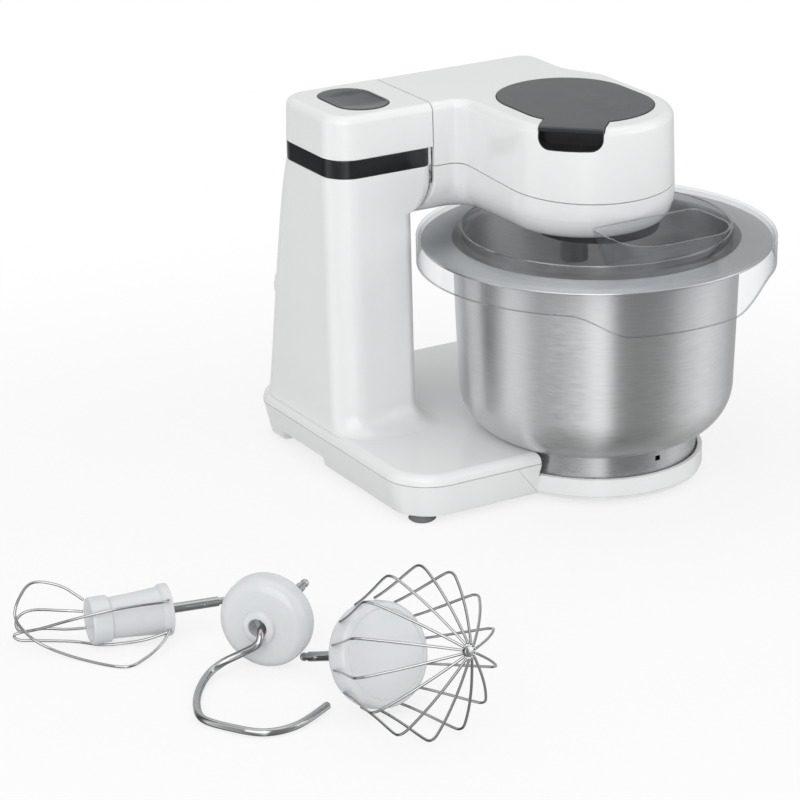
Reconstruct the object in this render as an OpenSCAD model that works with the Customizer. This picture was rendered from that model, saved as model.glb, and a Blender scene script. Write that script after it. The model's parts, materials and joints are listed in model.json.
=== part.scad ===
// Compact kitchen stand mixer: tilting drive head on a side tower, steel bowl,
// clear splash lid with a filling chute, and its three tools laid out in front.
// Millimetres, +Z up, standing on z = 0.  Sub-parts are drawn about the bowl axis.

/* [Placement] */
// Bowl axis, from the centre of the whole set, left to right
axis_x = 173.5; // [0:0.1:400]
// Bowl axis, from the centre of the whole set, front to back
axis_y = 69.7; // [0:0.1:400]

/* [Base] */
// Deck edge to the left of the bowl axis
deck_left = 170.5; // [150:0.5:190]
// Deck edge to the right of the bowl axis
deck_right = 75; // [70:0.5:90]
// Deck edge in front of the bowl axis
deck_front = 36; // [25:0.5:45]
// Deck edge behind the bowl axis
deck_back = 194; // [185:0.5:210]
// Height of the joint between tray and housing
tray_seam_z = 28; // [24:0.5:32]
// Top of the deck
deck_top = 36; // [33:0.5:40]
// Underside of the tray
tray_bottom = 4.5; // [4:0.5:6]
// Inward slope of the tray sides, over their height
tray_slope = 5; // [2:0.5:7]
// Wall of the moulded housings
wall = 2.5; // [2:0.1:3.5]
// Outer radius of the bowl seat
seat_r = 74.5; // [73:0.5:80]
// Top of the seat ring
seat_top = 19.5; // [17:0.5:22]
// Floor of the seat, which carries the bowl
seat_floor = 12; // [10:0.5:14]
// Radius of a rubber foot
foot_pad_r = 9.5; // [7:0.5:12]

/* [Tower] */
// Rear face of the tower, left of the bowl axis
tower_left = 166.5; // [155:0.5:168]
// Front edge of the neck, left of the bowl axis
neck_right = 105.7; // [104.5:0.1:112]
// Joint plane between tower and head, left of the bowl axis
joint_x = 90; // [88:0.5:96]
// Running gap between tower and head
joint_gap = 1.2; // [1:0.1:2]
// Near face of tower and arm, behind the bowl axis
arm_near = 65; // [62:0.5:68]
// Far face of tower and arm, behind the bowl axis
arm_far = 148.5; // [140:0.5:152]
// Top of tower and head
top_z = 261; // [258:0.5:266]
// Lower edge of the dark band
band_z = 218; // [214:0.5:222]
// Height of the dark band
band_h = 13; // [10:0.5:16]
// Radius of the tower's vertical corners
tower_r = 20; // [14:0.5:24]
// Fillet between tower and deck
foot_fillet = 18; // [10:0.5:22]

/* [Head] */
// Radius of the round lobe over the bowl
lobe_r = 59.8; // [56:0.2:64]
// Lobe centre to the left of the bowl axis
lobe_x = 6; // [0:0.5:8]
// Lobe centre behind the bowl axis
lobe_y = 3.6; // [0:0.2:6]
// Underside of the head
head_bottom = 184; // [182:0.5:188]
// Height of the shell joint at the bowl axis
shell_seam_z = 213.2; // [208:0.2:218]
// Rise of the shell joint towards the back, per millimetre
shell_seam_rise = 0.06; // [0:0.01:0.08]
// Rounding of the top edges
top_round = 6; // [3:0.5:8]
// Tilt axis behind the joint plane
pivot_back = 27; // [24:0.5:30]
// Tilt axis below the top
pivot_drop = 6.8; // [6.5:0.1:7.2]
// Hinge pin radius
pin_r = 2.5; // [2:0.1:3]
// Running clearance of pins and shafts, radial
run_fit = 0.08; // [0.03:0.01:0.1]

/* [Drive cover] */
// Radius of the cover's round ends
cover_r = 46.5; // [42:0.5:48]
// Distance between the centres of the round ends
cover_len = 26; // [15:0.5:30]
// Thickness of the cover plate
cover_t = 3.5; // [3:0.1:4.5]
// Width of the finger lip
lip_w = 44; // [36:0.5:50]
// Direction of the finger lip
lip_angle = 226; // [215:1:240]
// Gap around the cover
cover_gap = 0.5; // [0.3:0.1:1]

/* [Bowl] */
// Radius of the bowl body at the rim
bowl_r = 98.6; // [95:0.2:102]
// Radius of the bowl body where the bottom rounds
bowl_low_r = 95; // [90:0.2:98]
// Radius of the rounded bottom edge
bowl_round = 36; // [28:0.5:40]
// Height of the bowl's bottom
bowl_bottom = 32; // [29:0.5:36]
// Height of the rim's outer edge
rim_z = 167; // [160:0.5:172]
// Outer radius of the rim
rim_r = 120.4; // [116:0.2:121]
// Rise of the rim towards the bowl
rim_rise = 3; // [1:0.5:5]
// Sheet thickness of the bowl
bowl_t = 0.8; // [0.6:0.1:1.2]
// Radius of the foot ring
foot_r = 70; // [66:0.2:71]

/* [Lid] */
// Wall of the clear lid
lid_t = 1.6; // [1.4:0.1:2.2]
// Radius of the lid's central opening
lid_hole_r = 93; // [88:0.5:95]
// Height of the collar round the opening
collar_h = 7; // [4:0.5:10]
// Gap between lid and bowl
lid_gap = 0.5; // [0.3:0.1:1]
// Depth of the skirt below the lid plate
skirt_depth = 18; // [12:0.5:22]
// Extra depth of the skirt at the front
skirt_tab = 15; // [8:0.5:18]
// Top of the filling chute
chute_top = 198; // [192:0.5:202]

/* [Gears] */
// Module of the fast gear pair
fast_module = 1.0; // [0.8:0.1:1.2]
// Teeth of the motor pinion
motor_teeth = 10; // [9:1:14]
// Teeth of the large layshaft gear
lay_teeth = 94; // [88:1:96]
// Module of the slow gears
slow_module = 1.25; // [1.2:0.05:1.3]
// Teeth of the layshaft pinion
lay_pinion_teeth = 12; // [11:1:14]
// Teeth of the carrier gear
carrier_teeth = 46; // [42:1:48]
// Teeth of the fixed ring gear
ring_teeth = 56; // [54:1:58]
// Teeth of the planet gear
planet_teeth = 16; // [14:1:18]
// Backlash at the pitch circle
backlash = 0.3; // [0.2:0.05:0.5]

/* [Hidden] */

$fn = 64;
white = "#f4f5f6";
dark = "#2b2f34";
steel = "#c3c6c9";
grey = "#6d7073";
black = "#0c0d0f";
e = 0.01;

// ---------- derived values ----------

deck_gap = 1.5;
seat_seam_z = tray_bottom + 2.4;
deck_round = deck_top - tray_seam_z;
step_r = 93;
tower_foot_z = deck_top + foot_fillet;
arm_low = head_bottom + 3;
seam_arc_top = band_z - 8;
cap_low = band_z + band_h;

post_spots = [[-150, 8], [-92, 22], [-92, 172], [50, 160]];
foot_spots = [[-150.5, -17], [-150.5, 178], [52, 172], [-29, -45]];
post_r = 4.5;
screw_r = 1.6;
screw_head_r = 3.4;
foot_stem_r = 3;
foot_stem_z = tray_bottom + 1.5;
hold_y = 92;
hold_w = 60;

boss_r = 57;
lug_r = 64;
lug_angles = [45 : 90 : 315];
lug_span = 20;
flange_t = 1.3;

ledge_z = band_z - 4;
pivot = [-joint_x - pivot_back, top_z - pivot_drop];
knuckle_r = pin_r + 1.6;
arm_w = 4;
arm_y = [arm_near + wall + 1.5, arm_far - wall - 5.5];
bracket_w = 3;
bracket_y = [arm_y[0] + arm_w + 1, arm_y[1] - 4];
tongue_w = 12;
tongue_y = (arm_near + arm_far - tongue_w) / 2;

button_c = [-128.5, 106];
button_size = [38, 60];
button_t = 2.2;
guide_at = [button_c[0] - 6, button_c[1]];
guide_r = 7;
guide_top = ledge_z + 22;
stem_r = 4;
spring_r = 6;
spring_wire = 0.55;
spring_turns = 4;
latch_z = ledge_z + 3.3;
latch_travel = 2;

knob_x = -tower_left + 34;
knob_z = 112;
knob_r = 20;
knob_pad_r = 24;
knob_shaft_r = 3;
bush_r = 5;
knob_face_y = arm_far + far_flare(knob_z - knob_pad_r) + 1.5;
switch_y = knob_face_y - 12;
gland_at = [-tower_left + 30, 54];
gland_r = 5;
gland_face_y = arm_far + far_flare(gland_at[1] - 9) + 1.5;

lobe_c = [-lobe_x, lobe_y];
head_hub = [lobe_c[0] - 16, arm_near + 25];
head_draft = 1.4;
floor_top = head_bottom + wall;
cover_z = top_z - cover_t + 0.5;
recess_z = top_z - cover_t + 0.4;
well_r = 18;
well_z = top_z - 19;
pocket_z = top_z - 15;
pocket_in = 44;

mesh_d = slow_module * (lay_pinion_teeth + carrier_teeth) / 2;
motor_d = fast_module * (motor_teeth + lay_teeth) / 2;
lay_c = [-4, sqrt(mesh_d * mesh_d - 16)];
motor_c = [lay_c[0], lay_c[1] + motor_d];
mesh_angle = atan2(-lay_c[1], -lay_c[0]);
orbit = slow_module * (ring_teeth - planet_teeth) / 2;
orbit_angle = 200;
carrier_z = head_bottom - 6.5;
ring_z = floor_top + 0.1;
plate_z = head_bottom + 25;
bridge_z = head_bottom + 40;
lay_r = 3;
motor_r = 2.5;
cradle_z = head_bottom + 37.2;
motor_low = head_bottom + 40;
coupling_z = well_z + 2;
carrier_r = 43;
spindle_r = 4.5;
socket_low = 160;
tool_r = 3.1;

foot_low = seat_floor + 0.05;
lid_z = rim_z + rim_rise + bowl_t + lid_gap;
lid_r = rim_r + lid_gap + lid_t + 0.7;
press = 0.02;
motor_h = 27;
catch_z = head_bottom + 39;
plate_posts = [[-52, 52], [42, 52], [-60, 92], [30, 130], [-44, 132]];
shell_posts = [[-78, 128], [38, 84]];
cradle_posts = [[motor_c[0] - 32, motor_c[1] + 20], [motor_c[0] + 32, motor_c[1] + 20],
                [motor_c[0], motor_c[1] + 41]];
bridge_posts = [[lay_c[0] - 51.8, lay_c[1]], [lay_c[0] + 51.4, lay_c[1]]];
lug_turn = 25;
deck_corners = [
    [-deck_left, -deck_front, 33, 8],
    [-seat_r * 0.6, -deck_front, 1, 1],
    [seat_r * 0.8, seat_r * 0.15, 1, 1],
    [deck_right, seat_r * 0.2, 1, 1],
    [deck_right, deck_back, 28, 7],
    [-deck_left, deck_back, 28, 7],
];
arc_heights = [for (t = [0 : 15 : 90]) arm_low + (seam_arc_top - arm_low) * (1 - cos(t))];
foot_heights = [for (t = [0 : 15 : 75]) tower_foot_z - foot_fillet * cos(t)];
cap_corners = [
    [-tower_left, arm_near, tower_r, 7],
    [-joint_x + 30, arm_near, 2, 1],
    [-joint_x + 30, arm_far, 2, 1],
    [-tower_left, arm_far, tower_r, 7],
];
bowl_c = [bowl_low_r - bowl_round, bowl_bottom + bowl_round];
chute_d = 57.5;
stir_at = [-377.5, -92, 17];
hook_at = [-341, -159, 29.2];
beat_at = [-317, -253.5, 35.2];
beat_wires = 14;

// ---------- outlines and lofts ----------

function unit(v) = v / norm(v);
function left_normal(v) = [-v[1], v[0]];
function at(list, i) = list[(i + len(list)) % len(list)];
function xy(p) = [p[0], p[1]];

// Moves every edge of a corner list inwards by d; corners are [x, y, radius, steps]
function inset(corners, d) = [
    for (i = [0 : len(corners) - 1])
        let (
            here = corners[i],
            before = unit(xy(here) - xy(at(corners, i - 1))),
            after = unit(xy(at(corners, i + 1)) - xy(here)),
            n1 = left_normal(before),
            n2 = left_normal(after),
            moved = xy(here) + (n1 + n2) * d / (1 + n1 * n2),
            convex = cross(before, after) > 0
        )
        [moved[0], moved[1], max(here[2] + (convex ? -d : d), 0.05), here[3]]
];

// Turns a corner list into points, each corner an arc of the given steps
function rounded(corners) = [
    for (i = [0 : len(corners) - 1])
        let (
            here = corners[i],
            before = unit(xy(here) - xy(at(corners, i - 1))),
            after = unit(xy(at(corners, i + 1)) - xy(here)),
            turn = cross(before, after) > 0 ? 1 : -1,
            angle = acos(max(-1, min(1, before * after))),
            reach = here[2] * tan(angle / 2),
            centre = xy(here) - before * reach + left_normal(before) * here[2] * turn,
            start = atan2(before[1], before[0]) - 90 * turn
        )
        for (k = [0 : here[3]])
            centre + here[2] * [cos(start + turn * angle * k / here[3]),
                                sin(start + turn * angle * k / here[3])]
];

function at_height(points, z) = [for (p = points) [p[0], p[1], z]];

// Closed solid through rings of equal length, the first ring lowest.
// An outline with inward corners needs a hub, an [x, y] from which all of it can be seen.
module loft(rings, hub = undef) {
    n = len(rings[0]);
    last = len(rings) - 1;
    hubs = is_undef(hub) ? []
        : [[hub[0], hub[1], rings[0][0][2]], [hub[0], hub[1], rings[last][0][2]]];
    points = concat([for (ring = rings) each ring], hubs);
    low_hub = n * (last + 1);
    sides = [
        for (r = [0 : last - 1], i = [0 : n - 1])
            let (a = r * n + i, b = r * n + (i + 1) % n)
            each [[a, a + n, b + n], [a, b + n, b]]
    ];
    bottom = is_undef(hub) ? [[for (i = [0 : n - 1]) i]]
        : [for (i = [0 : n - 1]) [low_hub, i, (i + 1) % n]];
    top = is_undef(hub) ? [[for (i = [n - 1 : -1 : 0]) last * n + i]]
        : [for (i = [0 : n - 1]) [low_hub + 1, last * n + (i + 1) % n, last * n + i]];
    polyhedron(points = points, faces = concat(sides, bottom, top), convexity = 8);
}

// Rings of a solid that is straight-sided with one rounded end
// profile holds [inset, z] pairs from the bottom up
function profile_rings(corners, profile) =
    [for (p = profile) at_height(rounded(inset(corners, p[0])), p[1])];

module at_bowl() { translate([axis_x, axis_y, 0]) children(); }

// ---------- base and tower forms ----------

module deck_form() {
    loft(profile_rings(deck_corners, concat(
        [[0, tray_seam_z], [0.4, tray_seam_z + 2]],
        [for (t = [15 : 15 : 90]) [0.4 + (deck_round - 2) * (1 - cos(t)),
                                   tray_seam_z + 2 + (deck_round - 2) * sin(t)]])));
}

module deck_cavity() {
    difference() {
        loft(profile_rings(deck_corners, [[wall + 0.4, tray_seam_z - 1],
                                          [wall + 1.5, deck_top - wall]]));
        cylinder(h = deck_top, r = seat_r + deck_gap + wall, $fn = 96);
    }
}

module tray_form() {
    loft(profile_rings(deck_corners, [[tray_slope + 2, tray_bottom],
                                      [tray_slope, tray_bottom + 2], [0, tray_seam_z]]));
}

// Where the deck steps down to the seat, the joint line follows this cone
module step_cone(grow = 0) {
    translate([0, 0, seat_seam_z])
        cylinder(h = tray_seam_z - seat_seam_z + e, r1 = seat_r + grow, r2 = step_r + grow);
}

// Flare of the far side towards the deck
function far_flare(z) =
    let (s = max(band_z - z, 0)) 0.165 * s + 6 * (1 - exp(-s / 25));
function near_flare(z) = 0.02 * max(band_z - z, 0);
function fillet_out(z) =
    z >= tower_foot_z ? 0
    : foot_fillet - sqrt(max(foot_fillet * foot_fillet - pow(tower_foot_z - z, 2), 0));

// Front face of the tower: the joint plane above, a quarter arc, the neck below
function tower_front(z) =
    z >= seam_arc_top ? -joint_x
    : z <= arm_low ? -neck_right
    : -neck_right + (neck_right - joint_x)
        * sqrt(1 - pow((seam_arc_top - z) / (seam_arc_top - arm_low), 2));

function tower_corners(z) =
    let (f = fillet_out(z), r = tower_r + f * 0.6)
    [
        [-tower_left - f * 0.12, arm_near - near_flare(z) - f, r, 7],
        [tower_front(z) + f, arm_near - near_flare(z) - f, 8 + f, 5],
        [tower_front(z) + f, arm_far + far_flare(z) + f * 0.4, 8 + f, 5],
        [-tower_left - f * 0.12, arm_far + far_flare(z) + f * 0.4, r, 7],
    ];

module tower_loft(heights, d = 0) {
    loft([for (z = heights) at_height(rounded(inset(tower_corners(z), d)), z)]);
}

// ---------- fixed shells ----------

// Upright cylinder along +Y from a point
module along_y(x, y, z, length, r) {
    translate([x, y, z]) rotate([-90, 0, 0]) cylinder(h = length, r = r);
}

// Flat outline with round ends, long side along Y
module slot_form(width, length, h) {
    linear_extrude(h) union() {
        square([width, length - width], center = true);
        for (s = [-1, 1]) translate([0, s * (length - width) / 2]) circle(d = width);
    }
}

// Openings in the tower front that the hinge arms and the catch swing through
module joint_slots() {
    for (y = arm_y)
        translate([-joint_x - 14, y - 0.8, top_z - 52]) cube([16, arm_w + 1.6, 45.5]);
    translate([-joint_x - 14, tongue_y - 1, top_z - 45]) cube([16, tongue_w + 2, 30]);
}

module tower_cavity(top) {
    loft(concat(
        [at_height(rounded(inset(tower_corners(tower_foot_z), wall)), deck_top - wall - 1)],
        [for (z = [tower_foot_z, 120, arm_low, seam_arc_top, top])
            at_height(rounded(inset(tower_corners(z), wall)), z)]));
}

module tower_ledge() {
    intersection() {
        difference() {
            tower_loft([ledge_z - 5, ledge_z], 0.5);
            tower_loft([ledge_z - 6, ledge_z + 1], wall + 4);
        }
        translate([-tower_left, 0, ledge_z - 10]) cube([52, 200, 20]);
    }
}

module base_housing() {
    at_bowl() color(white) difference() {
        union() {
            difference() {
                union() {
                    deck_form();
                    tower_loft(concat([deck_top - 0.5], [for (z = foot_heights) z + 0.01],
                        [tower_foot_z, 80, 120, 160], arc_heights, [band_z]));
                    intersection() {
                        tray_form();
                        step_cone();
                    }
                    along_y(knob_x, knob_face_y - 14, knob_z, 14, knob_pad_r);
                    along_y(gland_at[0], gland_face_y - 9, gland_at[1], 9, gland_r + 4);
                }
                deck_cavity();
                tower_cavity(band_z + 1);
                translate([0, 0, seat_top])
                    cylinder(h = 40, r = seat_r + deck_gap, $fn = 96);
            }
            translate([0, 0, seat_seam_z])
                cylinder(h = seat_top - seat_seam_z, r = seat_r, $fn = 96);
            tower_ledge();
            for (p = post_spots)
                translate([p[0], p[1], tray_bottom + wall + 0.1])
                    cylinder(h = deck_top - 2 * wall - tray_bottom + 0.4, r = post_r);
        }
        translate([0, 0, seat_floor]) difference() {
            cylinder(h = 40, r = foot_r + 1, $fn = 96);
            bayonet_boss();
        }
        translate([0, 0, seat_seam_z - 1])
            cylinder(h = seat_floor - wall - seat_seam_z + 1, r = seat_r - wall);
        for (p = post_spots)
            translate([p[0], p[1], 0]) cylinder(h = 25, r = screw_r + 0.03);
        joint_slots();
        along_y(knob_x, knob_face_y - 39, knob_z, 40, bush_r + 0.03);
        along_y(gland_at[0], gland_face_y - 40, gland_at[1], 50, gland_r + 0.03);
    }
}

module sector(r, h, span) {
    intersection() {
        cylinder(h = h, r = r);
        rotate([0, 0, -span / 2]) cube([r * 1.5, r * 1.5, h]);
        rotate([0, 0, span / 2 - 90]) cube([r * 1.5, r * 1.5, h]);
    }
}

// Raised centre of the seat with the lugs that hold the bowl's foot ring
module bayonet_boss() {
    translate([0, 0, -1]) cylinder(h = 6, r = boss_r, $fn = 96);
    for (a = lug_angles)
        rotate([0, 0, a]) translate([0, 0, flange_t + 0.8]) sector(lug_r, 2.4, lug_span);
}

// Raised hand-hold under the rear left edge
module hand_hold(grow = 0) {
    translate([-deck_left - 1, hold_y - grow, tray_bottom - 1])
        cube([17 + grow, hold_w + 2 * grow, 8 + grow]);
}

module bottom_tray() {
    at_bowl() color(white) difference() {
        union() {
            difference() {
                tray_form();
                step_cone(0.2);
                translate([0, 0, seat_seam_z]) cylinder(h = 30, r = seat_r + 0.2);
                difference() {
                    loft(profile_rings(deck_corners, [
                        [tray_slope + 2 + wall, tray_bottom + wall],
                        [wall, tray_seam_z + 1]]));
                    hand_hold(wall);
                }
            }
            translate([0, 0, tray_bottom])
                cylinder(h = seat_seam_z - tray_bottom - 0.1, r = seat_r - 1.2, $fn = 96);
        }
        hand_hold();
        for (p = post_spots) {
            translate([p[0], p[1], 0]) cylinder(h = 10, r = screw_r + 0.1);
            translate([p[0], p[1], 0]) cylinder(h = tray_bottom + 1.2, r = screw_head_r + 0.3);
        }
        for (p = foot_spots)
            translate([p[0], p[1], 0]) cylinder(h = foot_stem_z + 0.02, r = foot_stem_r + 0.02);
        for (i = [0 : 8])
            translate([-146 + i * 5, 96, 0]) cube([2.4, 36, 12]);
    }
}

module rubber_feet() {
    at_bowl() color(grey) for (p = foot_spots) translate([p[0], p[1], 0]) rotate_extrude()
        polygon([[0, 0], [foot_pad_r - 1.5, 0], [foot_pad_r, 1.2], [foot_pad_r - 2, tray_bottom],
                 [foot_stem_r, tray_bottom], [foot_stem_r, foot_stem_z], [0, foot_stem_z]]);
}

module housing_screws() {
    at_bowl() color(steel) for (p = post_spots) translate([p[0], p[1], tray_bottom]) {
        difference() {
            cylinder(h = 1.2, r = screw_head_r);
            for (a = [0, 90]) rotate([0, 0, a]) cube([3.6, 0.8, 1.2], center = true);
        }
        cylinder(h = 17, r = screw_r);
    }
}

module tower_band() {
    at_bowl() color(black) difference() {
        tower_loft([band_z, cap_low], 0.2);
        tower_loft([band_z - 1, cap_low + 1], wall);
        // the cap's apron closes the joint side
        translate([-joint_x - wall - 4, arm_y[0] - 1, band_z - 1])
            cube([wall + 5, arm_y[1] - arm_y[0] + arm_w + 2, band_h + 2]);
    }
}

// Cap form with rounded upper edges, cut flush at the joint plane
module cap_form() {
    intersection() {
        loft(profile_rings(cap_corners, concat([[0, cap_low], [0.6, top_z - top_round]],
            [for (t = [22.5 : 22.5 : 90]) [0.6 + top_round * (1 - cos(t)),
                                           top_z - top_round + top_round * sin(t)]])));
        translate([-300, 0, 0]) cube([300 - joint_x, 300, 300]);
    }
}

module tower_cap() {
    at_bowl() color(white) difference() {
        union() {
            difference() {
                cap_form();
                tower_loft([cap_low - 1, top_z - wall], wall);
            }
            translate([-joint_x - wall, arm_y[0] - 0.9, band_z + 0.1])
                cube([wall, arm_y[1] - arm_y[0] + arm_w + 1.8, band_h + 2]);
        }
        joint_slots();
        translate([button_c[0], button_c[1], top_z - wall - 1])
            slot_form(button_size[0] + 2 * cover_gap, button_size[1] + 2 * cover_gap, wall + 2);
    }
}

// ---------- tower mechanism ----------

module hinge_bracket() {
    at_bowl() color(steel) difference() {
        union() {
            intersection() {
                tower_loft([ledge_z, ledge_z + 3], wall + 0.3);
                translate([-200, 0, 0]) cube([200 - joint_x - 8, 300, 300]);
            }
            for (y = bracket_y) {
                translate([pivot[0] - 9, y, ledge_z])
                    cube([18, bracket_w, pivot[1] - ledge_z - 3]);
                along_y(pivot[0], y, pivot[1], bracket_w, knuckle_r);
                translate([pivot[0] - knuckle_r, y, pivot[1] - 8])
                    cube([2 * knuckle_r, bracket_w, 8]);
            }
            translate([guide_at[0], guide_at[1], ledge_z])
                cylinder(h = guide_top - ledge_z, r = guide_r);
        }
        for (y = bracket_y)
            along_y(pivot[0], y - 1, pivot[1], bracket_w + 2, pin_r + 0.02);
        translate([guide_at[0], guide_at[1], ledge_z - 1])
            cylinder(h = 60, r = stem_r + run_fit);
        for (y = arm_y)
            translate([-joint_x - 22, y - 0.8, ledge_z - 1]) cube([30, arm_w + 1.6, 8]);
        translate([-joint_x - 24, tongue_y - 1, ledge_z - 1]) cube([30, tongue_w + 2, 8]);
    }
}

module hinge_pins() {
    at_bowl() color(steel) {
        along_y(pivot[0], arm_near + wall + 0.3, pivot[1],
                bracket_y[0] + bracket_w - arm_near - wall, pin_r);
        along_y(pivot[0], bracket_y[1] - 0.3, pivot[1],
                arm_far - wall - bracket_y[1], pin_r);
    }
}

module release_button() {
    at_bowl() color(dark) difference() {
        union() {
            translate([button_c[0], button_c[1], top_z - button_t])
                slot_form(button_size[0], button_size[1], button_t + 0.3);
            translate([guide_at[0], guide_at[1], ledge_z + 9])
                cylinder(h = top_z - button_t - ledge_z - 8.9, r = stem_r);
        }
        // shallow finger dish
        translate([button_c[0] + 4, button_c[1] - 6, top_z + 117.2])
            sphere(r = 118, $fn = 96);
    }
}

// Round tube along a path of 3-D points
module path_tube(path, r, sides = 8) {
    last = len(path) - 1;
    dirs = [for (i = [0 : last]) unit(path[min(i + 1, last)] - path[max(i - 1, 0)])];
    loft([for (i = [0 : last])
        let (
            ref = abs(dirs[i][2]) > 0.9 ? [1, 0, 0] : [0, 0, 1],
            u = unit(cross(ref, dirs[i])),
            v = cross(dirs[i], u)
        )
        [for (k = [0 : sides - 1])
            path[i] + r * (u * cos(360 * k / sides) + v * sin(360 * k / sides))]]);
}

module button_spring() {
    low = guide_top + spring_wire + 0.03;
    high = top_z - button_t - spring_wire - 0.03;
    steps = 10;
    n = spring_turns * steps;
    at_bowl() color(steel) translate([guide_at[0], guide_at[1], 0])
        path_tube([for (k = [0 : n])
            [spring_r * cos(360 * k / steps), spring_r * sin(360 * k / steps),
             low + (high - low) * k / n]], spring_wire, 5);
}

module release_latch() {
    at_bowl() color(dark) difference() {
        union() {
            translate([guide_at[0] - 16, guide_at[1] - 13, latch_z]) cube([28, 26, 3]);
            translate([guide_at[0], tongue_y + 1, latch_z]) cube([17, tongue_w - 2, 3]);
            translate([guide_at[0] - 16, guide_at[1] - 13, latch_z]) cube([3, 26, 9]);
        }
        translate([guide_at[0] + latch_travel / 2, guide_at[1], latch_z - 1])
            rotate([0, 0, 90])
                slot_form(2 * guide_r + 1, 2 * guide_r + 1 + latch_travel + 1, 20);
    }
}

module control_board() {
    board_x = -tower_left + wall + 5;
    at_bowl() color("#2f6b3a") {
        translate([board_x, arm_near + 24, 70]) cube([1.6, 50, 74]);
        for (y = [32, 44, 58])
            translate([board_x + 1.6 - e, arm_near + y, 80 + y / 2]) cube([9, 8, 12]);
        for (z = [76, 138], y = [28, 68])
            translate([board_x - 4.97, arm_near + y, z])
                rotate([0, 90, 0]) cylinder(h = 5, r = 2);
    }
}

module speed_switch() {
    at_bowl() color(grey) difference() {
        union() {
            translate([knob_x - 13, switch_y - 12, knob_z - 13]) cube([26, 12, 26]);
            along_y(knob_x, switch_y - 1, knob_z, knob_face_y - switch_y + 1, bush_r);
        }
        along_y(knob_x, switch_y - 8, knob_z, 40, knob_shaft_r + run_fit);
    }
}

module speed_knob() {
    at_bowl() color(dark) {
        along_y(knob_x, switch_y - 7, knob_z, knob_face_y - switch_y + 9, knob_shaft_r);
        translate([knob_x, knob_face_y + 0.5, knob_z]) rotate([-90, 0, 0]) difference() {
            union() {
                cylinder(h = 4, r = knob_r);
                cylinder(h = 12, r1 = knob_r - 4, r2 = knob_r - 5);
                translate([-3, -knob_r + 2, 0]) cube([6, 2 * knob_r - 4, 14]);
            }
            for (a = [0 : 20 : 340])
                rotate([0, 0, a]) translate([knob_r + 0.8, 0, -1]) cylinder(h = 6, r = 1.8);
        }
    }
}

module cord_gland() {
    at_bowl() color(dark) difference() {
        union() {
            along_y(gland_at[0], gland_face_y - 8, gland_at[1], 9, gland_r);
            along_y(gland_at[0], gland_face_y + 0.02, gland_at[1], 4, gland_r + 2.5);
        }
        along_y(gland_at[0], gland_face_y - 10, gland_at[1], 20, 3.3);
    }
}

// ---------- head shells ----------

function seam_z(y) = shell_seam_z + shell_seam_rise * y;

// Head outline at height z, drawn in by d; the rear end keeps its gap to the tower.
// A wall w is taken off all round.
function head_ring(z, d, w = 0) =
    let (rear = tower_front(z) + joint_gap - d)
    rounded(inset([
        [rear, arm_near, 0.6, 1],
        [lobe_c[0] - lobe_r - 2.2, arm_near, 10, 5],
        [lobe_c[0] - lobe_r, lobe_c[1] - lobe_r, lobe_r - 0.1, 14],
        [lobe_c[0] + lobe_r, lobe_c[1] - lobe_r, lobe_r - 0.1, 14],
        [lobe_c[0] + lobe_r, arm_far - 78, 29, 4],
        [lobe_c[0] + lobe_r - 14, arm_far - 51, 29, 3],
        [lobe_c[0] + lobe_r - 14, arm_far, 14, 4],
        [rear, arm_far, 0.6, 1],
    ], d + w));

// Rounding of the underside, and draft above the shell joint
function head_inset(z) =
    z < head_bottom + 20 ? 12 * (1 - sqrt(max(1 - pow((head_bottom + 20 - z) / 20, 2), 0)))
    : head_draft * max(z - shell_seam_z, 0) / (top_z - shell_seam_z);
function head_at(z, w = 0) = at_height(head_ring(z, head_inset(z), w), z);

module above_seam(gap) {
    translate([-200, 0, 0]) rotate([90, 0, 90]) linear_extrude(400)
        polygon([[-100, seam_z(-100) + gap], [200, seam_z(200) + gap], [200, 300], [-100, 300]]);
}

module head_form_low() {
    loft([for (z = concat([head_bottom, head_bottom + 0.4, head_bottom + 1.5], arc_heights,
                          [top_z - 24])) head_at(z)], head_hub);
}

module head_cavity_low() {
    loft([for (z = [floor_top, floor_top + 2, for (k = [2 : 6]) arc_heights[k], top_z - 23])
        head_at(z, wall)], head_hub);
}

module head_form_top() {
    loft(concat([for (z = [shell_seam_z - 12, seam_arc_top, top_z - top_round]) head_at(z)],
        [for (t = [22.5 : 22.5 : 90])
            let (z = top_z - top_round + top_round * sin(t))
            at_height(head_ring(z, head_inset(z) + top_round * (1 - cos(t))), z)]), head_hub);
}

module round_rect(w, h, r) {
    polygon(rounded([[-w / 2, 0, r, 4], [w / 2, 0, r, 4], [w / 2, h, 0.1, 1],
                     [-w / 2, h, 0.1, 1]]));
}

// Finger pocket under the cover's lip, cut in from the lobe wall
module pocket_form(grow = 0) {
    translate([lobe_c[0], lobe_c[1], 0]) rotate([0, 0, lip_angle])
        translate([pocket_in - grow, 0, pocket_z - grow]) rotate([90, 0, 90])
            linear_extrude(24) round_rect(lip_w + 2 * grow, 20, 8 + grow);
}

module cover_form(grow, h) {
    union() {
        translate([lay_c[0], 8 + cover_len / 2, 0])
            slot_form(2 * (cover_r + grow), 2 * (cover_r + grow) + cover_len, h);
        translate([lobe_c[0], lobe_c[1], 0]) rotate([0, 0, lip_angle])
            translate([20, -lip_w / 2 - grow, 0])
                cube([lobe_r - head_draft - 22.2 + grow, lip_w + 2 * grow, h]);
    }
}

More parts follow.
